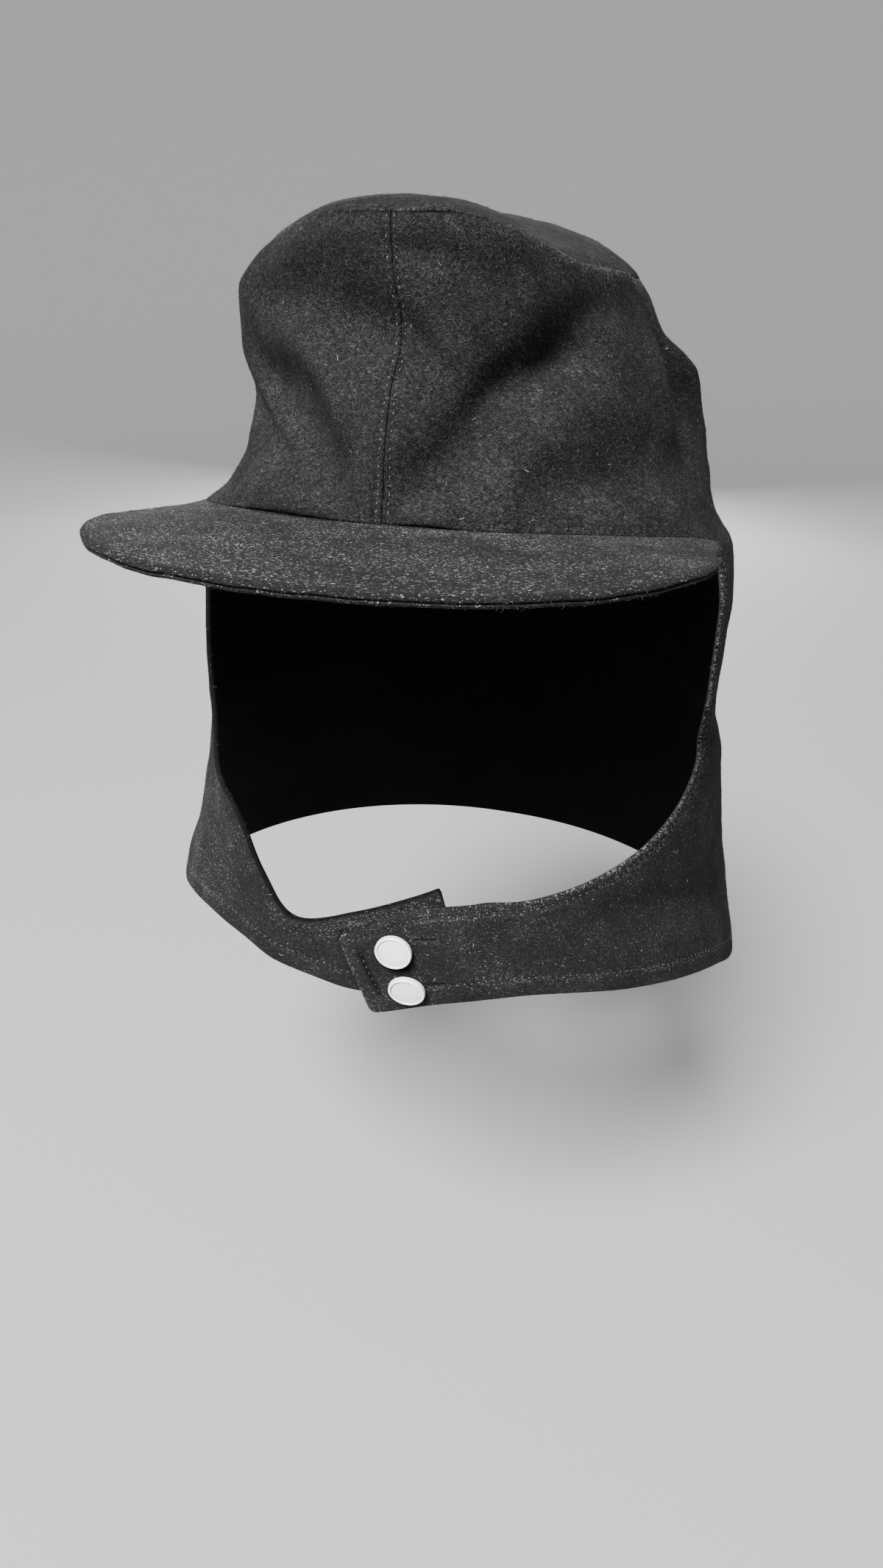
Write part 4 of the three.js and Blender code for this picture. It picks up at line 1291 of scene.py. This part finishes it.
# Nap and lint
# Loose ends of wool stand off the felt everywhere, and pale threads of lint have caught on it.
def nap_tree():
    takes = [
        ("Geometry", "NodeSocketGeometry"),
        ("Density", "NodeSocketFloat", 100000.0),
        ("Length", "NodeSocketFloat", 0.0015),
        ("Width", "NodeSocketFloat", 0.08),
        ("Rise", "NodeSocketFloat", 0.4),
        ("Seed", "NodeSocketInt", 1),
        ("Fibre", "NodeSocketMaterial"),
    ]
    gives = [("Geometry", "NodeSocketGeometry")]
    tree, takes_in, gives_out = node_tree("nap", "GeometryNodeTree", takes, gives)
    seed, rise = takes_in["Seed"], takes_in["Rise"]
    mask = add_node(tree, "GeometryNodeInputNamedAttribute", {"Name": "outside"}, data_type="FLOAT")
    density = maths(tree, "MULTIPLY", takes_in["Density"], mask.outputs["Attribute"])
    sources = {"Mesh": takes_in["Geometry"], "Density": density, "Seed": seed}
    spread = add_node(tree, "GeometryNodeDistributePointsOnFaces", sources, distribute_method="RANDOM")
    middle = add_node(tree, "ShaderNodeCombineXYZ", {"X": 0.45, "Y": 0.12, "Z": rise})
    drooped = maths(tree, "MULTIPLY", rise, 0.75)
    tip = add_node(tree, "ShaderNodeCombineXYZ", {"X": 0.9, "Y": -0.2, "Z": drooped})
    strand = add_node(tree, "GeometryNodeCurveQuadraticBezier", {
        "Resolution": 2,
        "Start": (0, 0, -0.03),
        "Middle": middle.outputs[0],
        "End": tip.outputs[0],
    })
    width = add_node(tree, "ShaderNodeCombineXYZ", {"X": takes_in["Width"]})
    ribbon = add_node(tree, "GeometryNodeCurvePrimitiveLine", {"Start": (0, 0, 0), "End": width.outputs[0]})
    sources = {"Curve": strand.outputs[0], "Profile Curve": ribbon.outputs[0]}
    hair = add_node(tree, "GeometryNodeCurveToMesh", sources)
    sources = {0: (0, 0, -math.pi), 1: (0.5, 0.5, math.pi), "Seed": seed}
    spin = add_node(tree, "FunctionNodeRandomValue", sources, data_type="FLOAT_VECTOR")
    sources = {"Rotation": spread.outputs["Rotation"], "Rotate By": spin.outputs[0]}
    turned = add_node(tree, "FunctionNodeRotateRotation", sources, rotation_space="LOCAL")
    size = add_node(tree, "FunctionNodeRandomValue", {2: 0.45, 3: 1.3, "Seed": 11}, data_type="FLOAT")
    sown = add_node(tree, "GeometryNodeInstanceOnPoints", {
        "Points": spread.outputs["Points"],
        "Instance": hair.outputs[0],
        "Rotation": turned.outputs[0],
        "Scale": maths(tree, "MULTIPLY", takes_in["Length"], size.outputs[1]),
    })
    return end_tree(tree, sown.outputs[0], takes_in["Fibre"], gives_out)


def fibre_material(name, dark, pale):
    material, tree, surface = new_material(name)
    place = add_node(tree, "ShaderNodeTexCoord").outputs["Object"]
    vary = ramp(tree, noise(tree, place, 420.0, 2.0).outputs[0], 0.4, 0.65)
    feed(tree, surface, {
        "Base Color": between(tree, vary, dark, pale),
        "Roughness": 0.8,
        "Specular IOR Level": 0.2,
    })
    return material


nap_fibre = fibre_material("nap_fibre", (0.0105, 0.0105, 0.011, 1), (0.041, 0.041, 0.0425, 1))
lint_fibre = fibre_material("lint_fibre", (0.037, 0.037, 0.036, 1), (0.23, 0.226, 0.222, 1))
nap = nap_tree()
NAP = {"Length": 0.0013, "Width": 0.06, "Rise": 0.45, "Fibre": nap_fibre}
LINT = {"Length": 0.0017, "Width": 0.07, "Rise": 0.16, "Fibre": lint_fibre}
NAP_SEED = 3
LINT_SEED = 23
# Each cloth with its name and the hairs of nap and of lint on a square metre
CLOTHS = [
    (crown_left, "crown_left", 420000.0, 9000.0),
    (crown_right, "crown_right", 420000.0, 9000.0),
    (crown_lid, "crown_tip", 420000.0, 5000.0),
    (peak_cover, "peak", 500000.0, 34000.0),
    (curtain_cloth, "curtain", 330000.0, 34000.0),
]
for count, (cloth, name, nap_density, lint_density) in enumerate(CLOTHS):
    nap_values = {**NAP, "Density": nap_density, "Seed": NAP_SEED + count}
    lint_values = {**LINT, "Density": lint_density, "Seed": LINT_SEED + count}
    fibres = [
        made_by_nodes(cloth, nap, nap_values, name + "_nap"),
        made_by_nodes(cloth, nap, lint_values, name + "_lint"),
    ]
for base in (seam_lines, curtain_lines):
    bpy.data.objects.remove(base)


# Floor
# A plain pale studio sweep: a level round floor that curves up into a wall all round.
FLOOR_Z = -0.35
FLOOR_RADIUS = 2.4
SWEEP = 1.4
WALL_TOP = 3.4


def floor():
    profile = [(0.5, FLOOR_Z)]
    profile += [
        (FLOOR_RADIUS + SWEEP * math.sin(a), FLOOR_Z + SWEEP * (1 - math.cos(a)))
        for a in np.linspace(0, math.pi / 2, 14)
    ]
    profile.append((FLOOR_RADIUS + SWEEP, WALL_TOP))
    around = np.radians(np.arange(0, 360, 4))
    points = [[0, 0, FLOOR_Z]]
    for radius, height in profile:
        points += [[radius * math.cos(a), radius * math.sin(a), height] for a in around]
    ring = 1 + np.arange(len(profile) * len(around)).reshape(len(profile), -1)
    following = np.roll(ring, -1, 1)
    faces = quads(ring[:-1], ring[1:], following[1:], following[:-1]).tolist()
    faces += [[0, int(a), int(b)] for a, b in zip(ring[0], following[0])]
    mesh = bpy.data.meshes.new("studio_floor")
    mesh.from_pydata(points, [], faces)
    material, tree, surface = new_material("studio_paper")
    feed(tree, surface, {"Base Color": (0.28, 0.28, 0.28, 1), "Roughness": 0.9})
    mesh.materials.append(material)
    mesh.shade_smooth()
    return put("studio_floor", mesh)


floor()


# Light and camera
# A large soft key light stands in front, high and a little on the wearer's right, and a weaker one shows the
# back. The camera stands where the photo was taken from.
def area_light(name, place, size, power, target=(0, 0, -0.03)):
    light = bpy.data.lights.new(name, "AREA")
    light.shape = "DISK"
    light.size = size
    light.energy = power
    lamp = put(name, light)
    lamp.location = place
    lamp.rotation_euler = (Vector(target) - Vector(place)).to_track_quat("-Z", "Y").to_euler()
    lamp.visible_camera = False


area_light("key_light", (-0.33, -1.97, 2.1), 1.1, 440)
area_light("back_light", (-0.6, 2.5, 0.45), 1.3, 85)
world = bpy.data.worlds.new("studio_air")
world.use_nodes = True
feed(world.node_tree, world.node_tree.nodes["Background"], {"Color": (1.0, 1.0, 1.0, 1), "Strength": 0.27})
bpy.context.scene.world = world

camera = put("camera", bpy.data.cameras.new("camera"))
camera.data.sensor_width = 36
camera.data.lens = 23.94
camera.data.clip_start = 0.01
right_axis = Vector((0.96136, 0.27309, 0.03472))
up_axis = Vector((-0.13685, 0.36466, 0.92103))
back_axis = Vector((0.23886, -0.89020, 0.38794))
stance = Matrix((right_axis, up_axis, back_axis)).transposed().to_4x4()
stance.translation = Vector((0.099211, -0.395582, 0.057020))
camera.matrix_world = stance
bpy.context.scene.camera = camera
